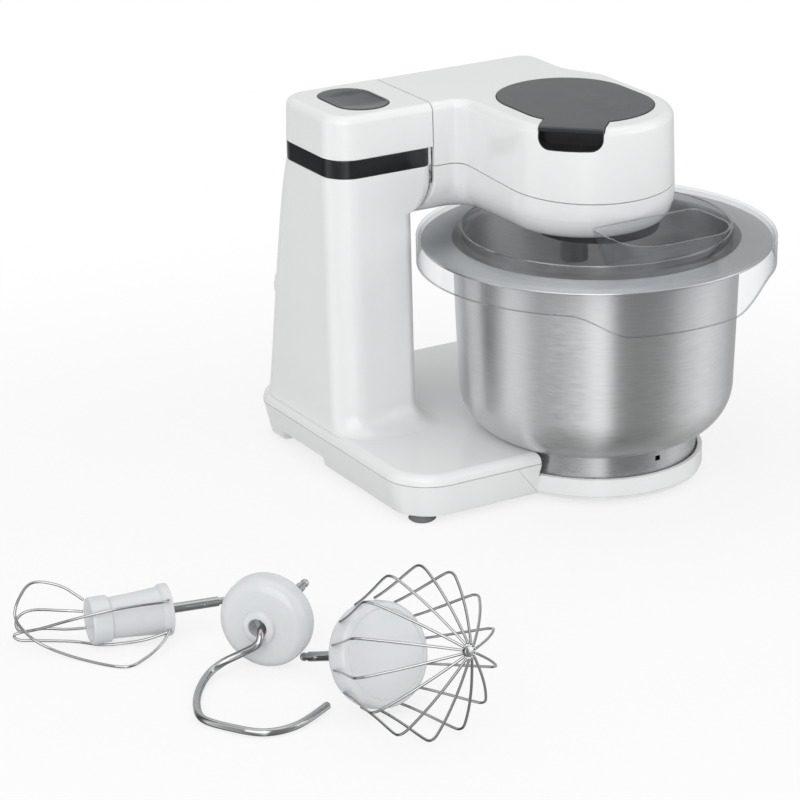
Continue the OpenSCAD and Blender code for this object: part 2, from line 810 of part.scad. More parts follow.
module head_upper_shell() {
    at_bowl() color(white) difference() {
        union() {
            difference() {
                intersection() {
                    head_form_top();
                    above_seam(0.2);
                }
                loft([head_at(shell_seam_z - 13, wall), head_at(seam_arc_top, wall),
                      head_at(recess_z - wall, wall + 0.6)], head_hub);
            }
            intersection() {
                head_form_top();
                pocket_form(wall);
            }
            translate([lay_c[0], lay_c[1], well_z])
                cylinder(h = recess_z - well_z - 1, r = well_r + 2);
            for (p = shell_posts)
                translate([p[0], p[1], seam_z(p[1]) + 0.4])
                    cylinder(h = recess_z - wall - seam_z(p[1]), r = 4);
        }
        for (p = shell_posts)
            translate([p[0], p[1], seam_z(p[1])]) cylinder(h = 12, r = screw_r + press);
        translate([0, 0, recess_z]) cover_form(cover_gap, 20);
        pocket_form();
        translate([lay_c[0], lay_c[1], well_z + wall]) cylinder(h = 40, r = well_r);
        translate([lay_c[0], lay_c[1], well_z - 1]) cylinder(h = 10, r = 9.5);
        head_rear_slots();
    }
}

module head_rear_slots() {
    for (y = arm_y)
        translate([-joint_x - 20, y - 0.8, head_bottom + 20]) cube([26, arm_w + 1.6, 23]);
    translate([-joint_x - 20, tongue_y - 0.6, catch_z - 0.6]) cube([26, tongue_w + 1.2, 5.2]);
}

module head_lower_shell() {
    at_bowl() color(white) difference() {
        union() {
            difference() {
                head_form_low();
                above_seam(-0.2);
                head_cavity_low();
            }
            for (p = plate_posts)
                translate([p[0], p[1], floor_top - 0.5])
                    cylinder(h = plate_z - floor_top + 0.4, r = 4);
            for (p = shell_posts)
                translate([p[0], p[1], floor_top - 0.5])
                    cylinder(h = seam_z(p[1]) - floor_top, r = 4);
        }
        translate([0, 0, head_bottom - 1]) cylinder(h = 10, r = carrier_r - 1, $fn = 96);
        for (p = plate_posts)
            translate([p[0], p[1], plate_z - 14]) cylinder(h = 20, r = screw_r - 0.2 + press);
        for (p = shell_posts) {
            translate([p[0], p[1], head_bottom - 1]) cylinder(h = 60, r = screw_r + 0.15);
            translate([p[0], p[1], head_bottom - 1]) cylinder(h = 9, r = screw_head_r + 0.3);
        }
        head_rear_slots();
        // thumb recess and catch mark in the near face
        translate([-79, arm_near - 1, head_bottom + 8]) rotate([-90, 0, 0])
            slot_form(5, 13, 2);
    }
}

module head_screws() {
    at_bowl() color(steel) {
        for (p = plate_posts)
            translate([p[0], p[1], plate_z]) {
                translate([0, 0, 3.02]) cylinder(h = 1.6, r = screw_head_r);
                translate([0, 0, -9]) cylinder(h = 12.1, r = screw_r - 0.2);
            }
        for (p = shell_posts)
            translate([p[0], p[1], head_bottom + 6.5]) {
                cylinder(h = 1.45, r = screw_head_r);
                cylinder(h = seam_z(p[1]) - head_bottom + 2, r = screw_r);
            }
    }
}

module drive_cover() {
    at_bowl() color(dark) difference() {
        union() {
            translate([0, 0, cover_z]) cover_form(0, top_z - cover_z + 0.5);
            translate([lay_c[0], lay_c[1], well_z + 13])
                cylinder(h = cover_z - well_z - 12.9, r = well_r - 0.5);
        }
        translate([lay_c[0], lay_c[1], well_z + 12]) cylinder(h = 6, r = well_r - 3);
    }
}

// Welded pair of arms, cross plate and catch tongue that carry the head
module hinge_arms() {
    plate_x = -joint_x + joint_gap + wall + 0.25;
    at_bowl() color(steel) difference() {
        union() {
            for (y = arm_y) {
                along_y(pivot[0], y, pivot[1], arm_w, knuckle_r);
                translate([pivot[0], y + arm_w, pivot[1]]) rotate([90, 52, 0])
                    translate([0, -4, 0]) cube([54, 8, arm_w]);
            }
            translate([plate_x, arm_y[0], head_bottom + 21])
                cube([3, arm_y[1] + arm_w - arm_y[0], 20]);
            translate([pivot[0] + 9, tongue_y, catch_z])
                cube([plate_x - pivot[0] - 8, tongue_w, 4]);
        }
        for (y = arm_y)
            along_y(pivot[0], y - 1, pivot[1], arm_w + 2, pin_r + run_fit);
        translate([plate_x + 3, 0, head_bottom - 20]) cube([60, 200, 80]);
    }
}

// ---------- gears ----------

function involute(a) = tan(a) * 180 / PI - a;

// Outline of an involute gear; extra widens the teeth, tip and root are depths in modules
function gear_points(m, teeth, extra, tip, root) =
    let (
        rp = m * teeth / 2,
        rb = rp * cos(20),
        r0 = rp - root * m,
        half = (90 + extra / m / PI * 180) / teeth + involute(20),
        radii = [for (k = [0 : 3]) max(r0, rb) + (rp + tip * m - max(r0, rb)) * k / 3],
        side = [for (r = radii) [r, half - involute(acos(min(1, rb / r)))]]
    )
    [for (i = [0 : teeth - 1]) each concat(
        [r0 * [cos(360 * i / teeth - side[0][1]), sin(360 * i / teeth - side[0][1])]],
        [for (k = [0 : 3]) side[k][0] * [cos(360 * i / teeth - side[k][1]),
                                         sin(360 * i / teeth - side[k][1])]],
        [for (k = [3 : -1 : 0]) side[k][0] * [cos(360 * i / teeth + side[k][1]),
                                              sin(360 * i / teeth + side[k][1])]],
        [r0 * [cos(360 * i / teeth + side[0][1]), sin(360 * i / teeth + side[0][1])]]
    )];

module gear(m, teeth, h) {
    linear_extrude(h) polygon(gear_points(m, teeth, -backlash, 0.85, 1.1));
}

module gear_ring(m, teeth, h) {
    linear_extrude(h) polygon(gear_points(m, teeth, backlash, 1.1, 0.8));
}

module at_layshaft(z) { translate([lay_c[0], lay_c[1], z]) children(); }
module at_motor(z) { translate([motor_c[0], motor_c[1], z]) children(); }

module motor_shaft() {
    at_bowl() color(steel) {
        at_motor(plate_z - 3) cylinder(h = motor_low + 30.8 - plate_z + 3, r = motor_r);
        at_motor(plate_z + 4.5) rotate([0, 0, -90]) gear(fast_module, motor_teeth, 7);
    }
}

module lay_gear() {
    at_bowl() color(white) at_layshaft(plate_z + 5) rotate([0, 0, 90 + 180 / lay_teeth])
        difference() {
            union() {
                difference() {
                    gear(fast_module, lay_teeth, 6);
                    translate([0, 0, 4]) difference() {
                        cylinder(h = 3, r = lay_teeth * fast_module / 2 - 5);
                        cylinder(h = 3, r = 9);
                    }
                }
                cylinder(h = 8, r = 7);
            }
            translate([0, 0, -1]) cylinder(h = 20, r = lay_r + press);
            for (a = [0 : 60 : 300])
                rotate([0, 0, a]) translate([26, 0, -1]) cylinder(h = 8, r = 8);
        }
}

module lay_pinion() {
    at_bowl() color(steel) at_layshaft(head_bottom + 15) rotate([0, 0, mesh_angle])
        difference() {
            gear(slow_module, lay_pinion_teeth, 9);
            translate([0, 0, -1]) cylinder(h = 20, r = lay_r + press);
        }
}

module layshaft() {
    at_bowl() color(steel) at_layshaft(head_bottom + 14.5)
        cylinder(h = coupling_z + 7 - head_bottom - 14.5, r = lay_r);
}

// Dog coupling that a liquidiser would sit on
module blender_coupling() {
    at_bowl() color(dark) at_layshaft(coupling_z) difference() {
        union() {
            translate([0, 0, -4]) cylinder(h = 8, r = 8);
            translate([0, 0, 4]) for (a = [0 : 60 : 300])
                rotate([0, 0, a]) translate([4.2, -1.2, -0.5]) cube([3.6, 2.4, 3.7]);
        }
        translate([0, 0, -6]) cylinder(h = 20, r = lay_r + press);
    }
}

module carrier_gear() {
    at_bowl() color(white) translate([0, 0, head_bottom + 16])
        rotate([0, 0, mesh_angle + 180 + 180 / carrier_teeth]) difference() {
            union() {
                gear(slow_module, carrier_teeth, 7);
                cylinder(h = 8.5, r = 10);
            }
            translate([0, 0, -1]) cylinder(h = 20, r = 6 + press);
        }
}

module drive_carrier() {
    at_bowl() color(steel) translate([0, 0, carrier_z]) difference() {
        union() {
            cylinder(h = 5.9, r = carrier_r, $fn = 96);
            cylinder(h = 8.9, r = carrier_r - 2, $fn = 96);
            cylinder(h = 21.5, r = 8);
            cylinder(h = plate_z + 4 - carrier_z, r = 6);
        }
        rotate([0, 0, orbit_angle]) translate([orbit, 0, -1])
            cylinder(h = 20, r = spindle_r + 1.5);
    }
}

module ring_gear() {
    at_bowl() color(grey) translate([0, 0, ring_z]) difference() {
        union() {
            cylinder(h = 2.9, r = carrier_r + 1, $fn = 96);
            cylinder(h = 11.6, r = carrier_r - 2, $fn = 96);
        }
        translate([0, 0, -1]) cylinder(h = 2.9, r = carrier_r - 4, $fn = 96);
        rotate([0, 0, orbit_angle]) gear_ring(slow_module, ring_teeth, 8.8);
        cylinder(h = 20, r = 8 + run_fit);
    }
}

module planet_gear() {
    at_bowl() color(white) rotate([0, 0, orbit_angle]) translate([orbit, 0, ring_z + 1.9])
        difference() {
            gear(slow_module, planet_teeth, 6);
            translate([0, 0, -1]) cylinder(h = 10, r = spindle_r - 1 + press);
        }
}

module tool_spindle() {
    at_bowl() color(steel) rotate([0, 0, orbit_angle]) translate([orbit, 0, 0]) difference() {
        union() {
            translate([0, 0, socket_low]) cylinder(h = carrier_z - 0.5 - socket_low, r = 9.5);
            translate([0, 0, socket_low]) cylinder(h = ring_z + 1.5 - socket_low, r = spindle_r);
            translate([0, 0, ring_z]) cylinder(h = 8.2, r = spindle_r - 1);
        }
        translate([0, 0, socket_low - 1]) cylinder(h = 19, r = tool_r + 0.1);
        for (a = [0, 90])
            rotate([0, 0, a]) translate([-tool_r - 2, -1.3, socket_low - 1])
                cube([2 * tool_r + 4, 2.6, 9]);
    }
}

module spindle_bush() {
    at_bowl() color(grey) rotate([0, 0, orbit_angle]) translate([orbit, 0, carrier_z])
        difference() {
            cylinder(h = 8.9, r = spindle_r + 1.48);
            translate([0, 0, -1]) cylinder(h = 20, r = spindle_r + run_fit);
        }
}

module gear_plate() {
    at_bowl() color(steel) difference() {
        intersection() {
            loft([for (z = [plate_z, plate_z + 3]) at_height(head_ring(plate_z, wall + 3), z)],
                 head_hub);
            translate([-76, -200, plate_z - 5]) cube([300, 400, 20]);
        }
        translate([0, 0, plate_z - 1]) cylinder(h = 9, r = 6 + run_fit);
        at_layshaft(plate_z - 1) cylinder(h = 9, r = lay_r + run_fit);
        at_motor(plate_z - 1) cylinder(h = 9, r = 6 + press);
        for (p = concat(plate_posts, cradle_posts))
            translate([p[0], p[1], plate_z - 1]) cylinder(h = 9, r = screw_r + 0.1);
        for (p = shell_posts)
            translate([p[0], p[1], plate_z - 1]) cylinder(h = 9, r = 4.5);
    }
}

module layshaft_bridge() {
    at_bowl() color(steel) difference() {
        union() {
            translate([bridge_posts[0][0] - 3.5, lay_c[1] - 6, bridge_z])
                cube([bridge_posts[1][0] - bridge_posts[0][0] + 6.3, 12, 3]);
            at_layshaft(bridge_z) cylinder(h = 3, r = 9);
            for (p = bridge_posts)
                translate([p[0], p[1], plate_z + 3.02])
                    cylinder(h = bridge_z - plate_z - 3, r = 3);
        }
        at_layshaft(bridge_z - 1) cylinder(h = 9, r = 6 + press);
    }
}

module shaft_bearings() {
    at_bowl() color(grey) {
        at_layshaft(bridge_z) bearing_ring(6, lay_r + run_fit);
        at_motor(plate_z) bearing_ring(6, motor_r + run_fit);
        at_motor(motor_low + motor_h + 0.44) bearing_ring(6, motor_r + run_fit);
    }
}

module bearing_ring(outer, inner) {
    difference() {
        cylinder(h = 3, r = outer);
        translate([0, 0, -1]) cylinder(h = 5, r = inner);
    }
}

module motor_cradle() {
    at_bowl() color(grey) difference() {
        union() {
            at_motor(cradle_z) difference() {
                cylinder(h = 2.6, r = 31);
                translate([0, 0, -1]) cylinder(h = 5, r = 17.5);
            }
            for (p = cradle_posts) {
                translate([p[0], p[1], plate_z + 3.02])
                    cylinder(h = cradle_z + 2.6 - plate_z - 3.02, r = 4);
            }
            at_motor(cradle_z) for (s = [-1, 1])
                translate([s * 26 - 6, 12, 0]) cube([12, 12, 2.6]);
            at_motor(cradle_z) translate([-5, 24, 0]) cube([10, 18, 2.6]);
        }
        for (p = cradle_posts)
            translate([p[0], p[1], plate_z]) cylinder(h = 12, r = 1.3);
    }
}

module motor_stator() {
    at_bowl() color("#8a8d91") at_motor(motor_low) {
        difference() {
            cylinder(h = motor_h, r = 30);
            translate([0, 0, -1]) cylinder(h = 40, r = 17.6);
            for (a = [0, 180]) rotate([0, 0, a])
                translate([-40, 22, -1]) cube([80, 20, 40]);
        }
    }
}

module motor_armature() {
    at_bowl() color(steel) at_motor(motor_low + 3) difference() {
        union() {
            difference() {
                cylinder(h = 16, r = 17);
                for (a = [0 : 30 : 330])
                    rotate([0, 0, a]) translate([11, -1.2, -1]) cube([10, 2.4, 30]);
            }
            cylinder(h = 16, r = 11);
        }
        translate([0, 0, -1]) cylinder(h = 40, r = motor_r + press);
    }
}

module armature_windings() {
    at_bowl() color("#b8642e") at_motor(motor_low + 3) {
        for (a = [0 : 30 : 330]) rotate([0, 0, a])
            translate([11.1, -0.9, 0.1]) cube([4.6, 1.8, 15.8]);
    }
}

module motor_commutator() {
    at_bowl() color("#c07a3e") at_motor(motor_low + 21.2) difference() {
        cylinder(h = 5, r = 9);
        translate([0, 0, -1]) cylinder(h = 20, r = motor_r + press);
        for (a = [0 : 30 : 330])
            rotate([0, 0, a]) translate([7.4, -0.3, -1]) cube([4, 0.6, 20]);
    }
}

module brush_holders() {
    at_bowl() color(dark) at_motor(motor_low + 21.6) for (a = [90, 270])
        rotate([0, 0, a]) {
            translate([9.4, -2.5, 0]) cube([7.7, 5, 5]);
            translate([9.4, -4, -0.6]) difference() {
                cube([7.7, 8, 6]);
                translate([-1, 1.45, 0.55]) cube([20, 5.1, 5.1]);
            }
        }
}

module motor_fan() {
    at_bowl() color(white) at_motor(motor_low + 0.3) difference() {
        union() {
            cylinder(h = 1, r = 16);
            cylinder(h = 2.4, r = 5);
            for (a = [0 : 30 : 330])
                rotate([0, 0, a]) translate([4.5, -0.5, 0.5]) cube([11, 1, 1.9]);
        }
        translate([0, 0, -1]) cylinder(h = 20, r = motor_r + press);
    }
}

module motor_end_cap() {
    at_bowl() color(dark) at_motor(motor_low + motor_h + 0.02) difference() {
        union() {
            cylinder(h = 1, r = 30);
            cylinder(h = 3.4, r = 9);
        }
        translate([0, 0, 0.4]) cylinder(h = 5, r = 6 + press);
        translate([0, 0, -1]) cylinder(h = 9, r = motor_r + 0.6);
        for (a = [0, 180]) rotate([0, 0, a]) translate([-40, 22, -1]) cube([80, 20, 40]);
    }
}

// ---------- bowl and lid ----------

function bowl_under(r) = bowl_c[1] - sqrt(pow(bowl_round, 2) - pow(max(r - bowl_c[0], 0), 2));

module bowl() {
    inner = bowl_round - bowl_t;
    rim_top = rim_z + rim_rise;
    at_bowl() color(steel) rotate_extrude($fn = 96) polygon(concat(
        [[0, bowl_bottom]],
        [for (t = [-90 : 15 : 0]) bowl_c + bowl_round * [cos(t), sin(t)]],
        [[bowl_r, rim_top], [rim_r, rim_z], [rim_r, rim_z + bowl_t + 0.2],
         [bowl_r, rim_top + bowl_t], [bowl_r - bowl_t, rim_top - 1]],
        [for (t = [0 : -15 : -90]) bowl_c + inner * [cos(t), sin(t)]],
        [[0, bowl_bottom + bowl_t]]));
}

// Foot ring with the inward flange that turns under the seat's lugs
module bowl_foot() {
    at_bowl() color(steel) difference() {
        rotate_extrude($fn = 96) polygon([
            [boss_r + 3.5, foot_low], [foot_r, foot_low],
            [foot_r, bowl_under(foot_r) - 0.03], [foot_r - 1, bowl_under(foot_r - 1) - 0.03],
            [foot_r - 1, foot_low + flange_t], [boss_r + 3.5, foot_low + flange_t]]);
        for (a = lug_angles)
            rotate([0, 0, a - lug_turn]) translate([0, 0, foot_low - 1])
                sector(lug_r + 1, 4, lug_span + 4);
        for (a = [4 : 90 : 274])
            rotate([0, 0, a]) translate([foot_r - 3, -2, bowl_bottom - 5]) cube([6, 4, 3.5]);
    }
}

// Chute outline at height z, flat side towards the head
function chute_ring(z, d) =
    let (f = (z - lid_z) / (chute_top - lid_z))
    at_height(rounded(inset([
        [-38 - 12 * f, -chute_d, 8, 3],
        [-38 - 12 * f, -92 - 24 * f, 26, 6],
        [45 - 3 * f, -92 - 24 * f, 26, 6],
        [45 - 3 * f, -chute_d, 8, 3],
    ], d)), z);

// Lower edge of the skirt: straight, with a smooth tab at the front
module skirt_cut() {
    low = lid_z - skirt_depth;
    tab = [for (t = [-1 : 0.1 : 1]) [10 + 54 * t, low - skirt_tab * (1 + cos(180 * t)) / 2]];
    translate([0, 0.5, 0]) rotate([90, 0, 0]) linear_extrude(lid_r + 5)
        polygon(concat([[-lid_r - 5, low - 30], [-lid_r - 5, low]], tab,
                       [[lid_r + 5, low], [lid_r + 5, low - 30]]));
    translate([-lid_r - 5, 0, low - 30]) cube([2 * lid_r + 10, lid_r + 5, 30]);
}

module lid() {
    at_bowl() color("#dfe7ee") difference() {
        union() {
            difference() {
                rotate_extrude($fn = 96) polygon([
                    [lid_hole_r - lid_t, lid_z], [lid_r - lid_t, lid_z],
                    [lid_r - lid_t, lid_z - skirt_depth - skirt_tab],
                    [lid_r, lid_z - skirt_depth - skirt_tab], [lid_r, lid_z + lid_t - 0.8],
                    [lid_r - 0.8, lid_z + lid_t], [lid_hole_r, lid_z + lid_t],
                    [lid_hole_r, lid_z + collar_h], [lid_hole_r - lid_t, lid_z + collar_h]]);
                skirt_cut();
            }
            translate([0, 0, lid_z - 6]) difference() {
                cylinder(h = 6.5, r = bowl_r - bowl_t - 0.6, $fn = 96);
                translate([0, 0, -1]) cylinder(h = 7, r = bowl_r - bowl_t - 2.2, $fn = 96);
                translate([0, 0, -1]) cylinder(h = 9, r = lid_hole_r - 0.4, $fn = 96);
            }
            loft([chute_ring(lid_z, 0), chute_ring(chute_top, 0)]);
        }
        loft([chute_ring(lid_z - 0.01, lid_t), chute_ring(chute_top + 0.01, lid_t)]);
    }
}

// ---------- tools laid out in front ----------

// Puts a tool's axis along a direction: azimuth in the ground plane, elevation above it
module laid(place, azimuth, elevation) {
    translate([axis_x, axis_y, 0]) translate(place) rotate([0, 90 - elevation, azimuth])
        children();
}

// Smooth curve through points, with steps pieces between neighbours
function curve(p, steps) =
    let (n = len(p) - 1)
    concat([for (i = [0 : n - 1], k = [0 : steps - 1])
        let (
            t = k / steps,
            a = p[max(i - 1, 0)], b = p[i], c = p[i + 1], d = p[min(i + 2, n)]
        )
        b + (c - a) * t / 2 + (2 * a - 5 * b + 4 * c - d) * t * t / 2
            + (3 * b - a - 3 * c + d) * t * t * t / 2], [p[n]]);

module tool_shaft(from, to) {
    translate([0, 0, to]) cylinder(h = from - to, r = tool_r);
    translate([0, 0, to - 6]) cylinder(h = 6.1, r = tool_r - 0.9);
    translate([0, 0, to - 6]) sphere(r = tool_r - 0.4);
    translate([0, 0, to + 9]) rotate([90, 0, 0])
        cylinder(h = 2 * tool_r + 2.4, r = 1.1, center = true);
}

module at_stir() { laid(stir_at, 169, 0) children(); }
module at_hook() { laid(hook_at, 218, 0) children(); }
module at_beat() { laid(beat_at, -80.4, 20.5) children(); }

module stir_whisk_hub() {
    at_stir() color(white) rotate_extrude() polygon([
        [tool_r + press, 0], [16.5, 0], [16.5, 5], [14.8, 6.5], [13, 38], [14.8, 39],
        [14.8, 50], [13.4, 51], [tool_r + press, 51]]);
}

module stir_whisk_shaft() { at_stir() color(steel) tool_shaft(48, -32); }

module stir_whisk_wires() {
    paths = [
        [[7, 16, 4], [11, 24, 11], [14.5, 34, 24.4], [15.8, 39, 39.3], [15.8, 19.6, 60.5],
         [13, -0.4, 78.4], [5, -7, 89], [-7, -8.4, 95.2], [-17, -14.6, 90], [-23, -19, 80.4],
         [-20, -14.5, 64.6], [-12, -6, 52.2]],
        [[-12, 13, 3], [-13, 17, 8.4], [-13, 16.4, 26.9], [-11, 14, 47.1], [-5, 5.9, 66.4],
         [4, -8.2, 82.4], [7, -16, 91.2], [3, -22.7, 91.9], [-1, -24.5, 86.7], [-3, -22, 78.7],
         [-4, -12.7, 64], [-3, -9, 52.2]],
        [[7.5, 16.1, 3], [12.5, 12.2, 17.8], [15.4, 6.5, 32], [15.9, 2.5, 45],
         [15.9, -8.5, 59.7], [15.9, -18, 80.9], [15.5, -22, 91], [12, -23.5, 92.5],
         [9, -19, 77], [8, -10.8, 63.3], [6, -4, 52.2]],
    ];
    at_stir() color(steel) for (p = paths) path_tube(curve(p, 3), 0.9, 6);
}

module dough_hook_dome() {
    at_hook() color(white) rotate_extrude() polygon([
        [tool_r + press, -9], [14, -9], [25, -5], [29, 0], [29, 9], [27.5, 13], [22, 16.2],
        [11, 16.6], [10, 19.4], [6.8, 20], [6.8, 10], [tool_r + press, 10]]);
}

module dough_hook_shaft() { at_hook() color(steel) tool_shaft(9.5, -46); }

module dough_hook_wire() {
    path = [[1, 1, 12.6], [2, 2, 19], [8, 2, 23.8], [15, -8, 25], [21, -19, 30],
            [25, -24, 40], [26.4, -21, 60], [26.4, -13, 80], [26.4, -2, 94],
            [26.4, 18, 98.5], [26.4, 39, 97.5], [26.4, 53, 82], [25, 60.5, 54]];
    at_hook() color(steel) path_tube(curve(path, 3), 2.4, 9);
}

module beat_whisk_hub() {
    at_beat() color(white) rotate_extrude() polygon([
        [tool_r + press, -30], [8, -30], [10, -20], [26, -14], [33, -10], [34, -7],
        [34, 2], [31.5, 5], [tool_r + press, 6]]);
}

module beat_whisk_shaft() { at_beat() color(steel) tool_shaft(4, -74); }

module beat_whisk_wires() {
    path = [[35.1, 0, -4], [39.5, 0, 10], [48, 0, 32], [51, 0, 40], [49, 0, 46.5],
            [36, 0, 57.5], [4.3, 0, 84]];
    at_beat() color(steel) {
        for (i = [0 : beat_wires - 1])
            rotate([0, 0, (i + 0.5) * 360 / beat_wires]) path_tube(curve(path, 2), 0.85, 5);
        translate([0, 0, 82]) cylinder(h = 3, r = 3.3);
    }
}

// ---------- nodes ----------

bottom_tray();
base_housing();
tower_band();
tower_cap();
rubber_feet();
housing_screws();
hinge_bracket();
hinge_pins();
release_button();
button_spring();
release_latch();
control_board();
speed_switch();
speed_knob();
cord_gland();
head_upper_shell();
head_lower_shell();
head_screws();
drive_cover();
hinge_arms();
gear_plate();
motor_shaft();
motor_armature();
armature_windings();
motor_commutator();
brush_holders();
motor_fan();
motor_stator();
motor_cradle();
motor_end_cap();
lay_gear();
lay_pinion();
layshaft();
blender_coupling();
layshaft_bridge();
shaft_bearings();
carrier_gear();
drive_carrier();
ring_gear();
planet_gear();
tool_spindle();
spindle_bush();
bowl();
bowl_foot();
lid();
stir_whisk_hub();
stir_whisk_shaft();
stir_whisk_wires();
dough_hook_dome();
dough_hook_shaft();
dough_hook_wire();
beat_whisk_hub();
beat_whisk_shaft();
beat_whisk_wires();
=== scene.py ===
"""Looks of the kitchen stand mixer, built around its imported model."""

import json
import math

import bmesh
import bpy
from mathutils import Matrix, Vector


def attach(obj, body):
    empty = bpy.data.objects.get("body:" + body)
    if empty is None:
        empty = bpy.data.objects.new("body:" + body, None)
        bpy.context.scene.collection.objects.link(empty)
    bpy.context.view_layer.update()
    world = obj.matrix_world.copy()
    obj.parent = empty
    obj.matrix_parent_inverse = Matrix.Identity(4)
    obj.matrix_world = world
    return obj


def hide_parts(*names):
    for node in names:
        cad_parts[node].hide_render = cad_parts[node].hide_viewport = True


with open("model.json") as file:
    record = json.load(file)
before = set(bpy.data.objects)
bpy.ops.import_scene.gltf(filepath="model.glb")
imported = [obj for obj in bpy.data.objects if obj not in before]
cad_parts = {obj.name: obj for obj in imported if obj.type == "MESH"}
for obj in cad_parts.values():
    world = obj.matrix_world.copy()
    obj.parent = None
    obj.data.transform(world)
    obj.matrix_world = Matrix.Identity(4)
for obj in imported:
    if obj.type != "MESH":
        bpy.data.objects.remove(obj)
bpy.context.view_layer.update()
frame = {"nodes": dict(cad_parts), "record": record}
nodes = frame["nodes"]

# Sizes in millimetres about the bowl axis, as in the part's source
AXIS = (173.5, 69.7)
WALL = 2.5
TRAY_Z, DECK_Z, BOTTOM_Z = 28, 36, 4.5
SEAT_R, SEAT_Z, SEAT_LOW, SEAT_FLOOR = 74.5, 19.5, 6.9, 12
NEAR, FAR, LEFT, NECK, JOINT = 65, 148.5, 166.5, 105.7, 90
TOP, BAND, CAP = 261, 218, 231
FOOT_Z, FILLET = 54, 18
ARM_LOW, ARC_TOP, HEAD_LOW = 187, 210, 184
LOBE, LOBE_R = (-6, 3.6), 59.8
LAY = (-4, 36.03)
BUTTON = (-128.5, 106)
KNOB = (-132.5, 177.417, 112)
GLAND = (-136.5, 184.539, 54)
RECESS_Z, COVER_Z, POCKET_Z, WELL_Z = 257.9, 258, 246, 242
LID_Z, LID_R, HOLE_R, LID_T = 171.3, 123.2, 93, 1.6
SKIRT, TAB, CHUTE_TOP = 18, 15, 198
# Near sides of the hinge arms, and the width of their passages
ARM_Y, ARM_SLOT = (69, 140.5), 5.6
# Radii of the moulded upper edges and of the head's underside
EDGE_R, HEAD_R = 6, 20
# Height of the head's seam at the bowl axis, and half its width
SEAM_Z, SEAM_GAP = 213.2, 0.36
BUTTON_W, BUTTON_L = 38, 60
# Radii of the tower's two bores and of the screws' counterbores
SHAFT_HOLE, COUNTERBORE = 5.03, 3.7
# Direction in degrees that the cover's lip points to
LIP_ANGLE = 226
# Wires of the beating whisk
BEAT_COUNT = 14
# Radius and length of a wire's tip, as shares of the wire's radius
TIP_R, TIP_LENGTH = 0.75, 0.3
# Line pieces that each step of a corner's arc is drawn with
FINE = 3


# ---------- outlines ----------


def unit(a, b):
    d = math.hypot(b[0] - a[0], b[1] - a[1])
    return (b[0] - a[0]) / d, (b[1] - a[1]) / d


def inset(corners, d):
    """Moves every edge of a corner list inwards by d; corners are (x, y, radius, steps)."""
    out = []
    for i, (x, y, r, n) in enumerate(corners):
        a = unit(corners[i - 1], (x, y))
        b = unit((x, y), corners[(i + 1) % len(corners)])
        k = d / (1 + a[0] * b[0] + a[1] * b[1])
        convex = a[0] * b[1] - a[1] * b[0] > 0
        out.append(
            (
                x - (a[1] + b[1]) * k,
                y + (a[0] + b[0]) * k,
                max(r + (-d if convex else d), 0.05),
                n,
            )
        )
    return out


def rounded(corners):
    """Turns a corner list into points, each corner an arc."""
    out = []
    for i, (x, y, r, n) in enumerate(corners):
        a = unit(corners[i - 1], (x, y))
        b = unit((x, y), corners[(i + 1) % len(corners)])
        turn = 1 if a[0] * b[1] - a[1] * b[0] > 0 else -1
        angle = math.acos(max(-1, min(1, a[0] * b[0] + a[1] * b[1])))
        reach = r * math.tan(angle / 2)
        cx = x - a[0] * reach - a[1] * r * turn
        cy = y - a[1] * reach + a[0] * r * turn
        start = math.atan2(a[1], a[0]) - math.pi / 2 * turn
        steps = n * FINE
        for k in range(steps + 1):
            t = start + turn * angle * k / steps
            out.append((cx + r * math.cos(t), cy + r * math.sin(t)))
    return out


def ring(corners, d, z):
    """Rounded outline at height z, moved inwards by d."""
    return [(x, y, z) for x, y in rounded(inset(corners, d))]


def span(a, b, n):
    """The values from a to b in n equal steps."""
    return [a + (b - a) * i / n for i in range(n + 1)]


def slot_points(width, length, centre, grow=0, steps=20):
    """Outline with round ends, long side along Y."""
    r = width / 2 + grow
    half = (length - width) / 2
    out = []
    for side in (1, -1):
        for k in range(steps + 1):
            t = (0 if side > 0 else math.pi) + math.pi * k / steps
            out.append(
                (centre[0] + r * math.cos(t), centre[1] + side * half + r * math.sin(t))
            )
    return out


def curve(points, steps):
    """Smooth curve through points."""
    out = []
    n = len(points) - 1
    for i in range(n):
        a, b, c, d = (
            Vector(points[max(0, min(j, n))]) for j in (i - 1, i, i + 1, i + 2)
        )
        for k in range(steps):
            t = k / steps
            out.append(
                b
                + (c - a) * t / 2
                + (2 * a - 5 * b + 4 * c - d) * t * t / 2
                + (3 * b - a - 3 * c + d) * t**3 / 2
            )
    return out + [Vector(points[n])]


# ---------- meshes ----------


def mesh_object(name, verts, faces, place=None):
    """A closed mesh from points in millimetres about the bowl axis, or about a tool's place."""
    place = place or Matrix.Identity(4)
    shift = Vector((AXIS[0], AXIS[1], 0))
    me = bpy.data.meshes.new(name)
    me.from_pydata([(place @ Vector(v) + shift) * 0.001 for v in verts], [], faces)
    bm = bmesh.new()
    bm.from_mesh(me)
    bmesh.ops.remove_doubles(bm, verts=bm.verts, dist=1e-6)
    bmesh.ops.recalc_face_normals(bm, faces=bm.faces)
    bm.to_mesh(me)
    bm.free()
    o = bpy.data.objects.new(name, me)
    bpy.context.scene.collection.objects.link(o)
    return o


def loft(name, rings, caps=True, place=None):
    """Skin through rings, with end caps, or without them closed on itself."""
    n = len(rings[0])
    total = n * len(rings)
    faces = []
    for r in range(len(rings) - caps):
        for i in range(n):
            a, b = r * n + i, r * n + (i + 1) % n
            faces.append((a, b, (b + n) % total, (a + n) % total))
    if caps:
        faces.append(tuple(range(n))[::-1])
        faces.append(tuple(range((len(rings) - 1) * n, len(rings) * n)))
    return mesh_object(name, [p for r in rings for p in r], faces, place)


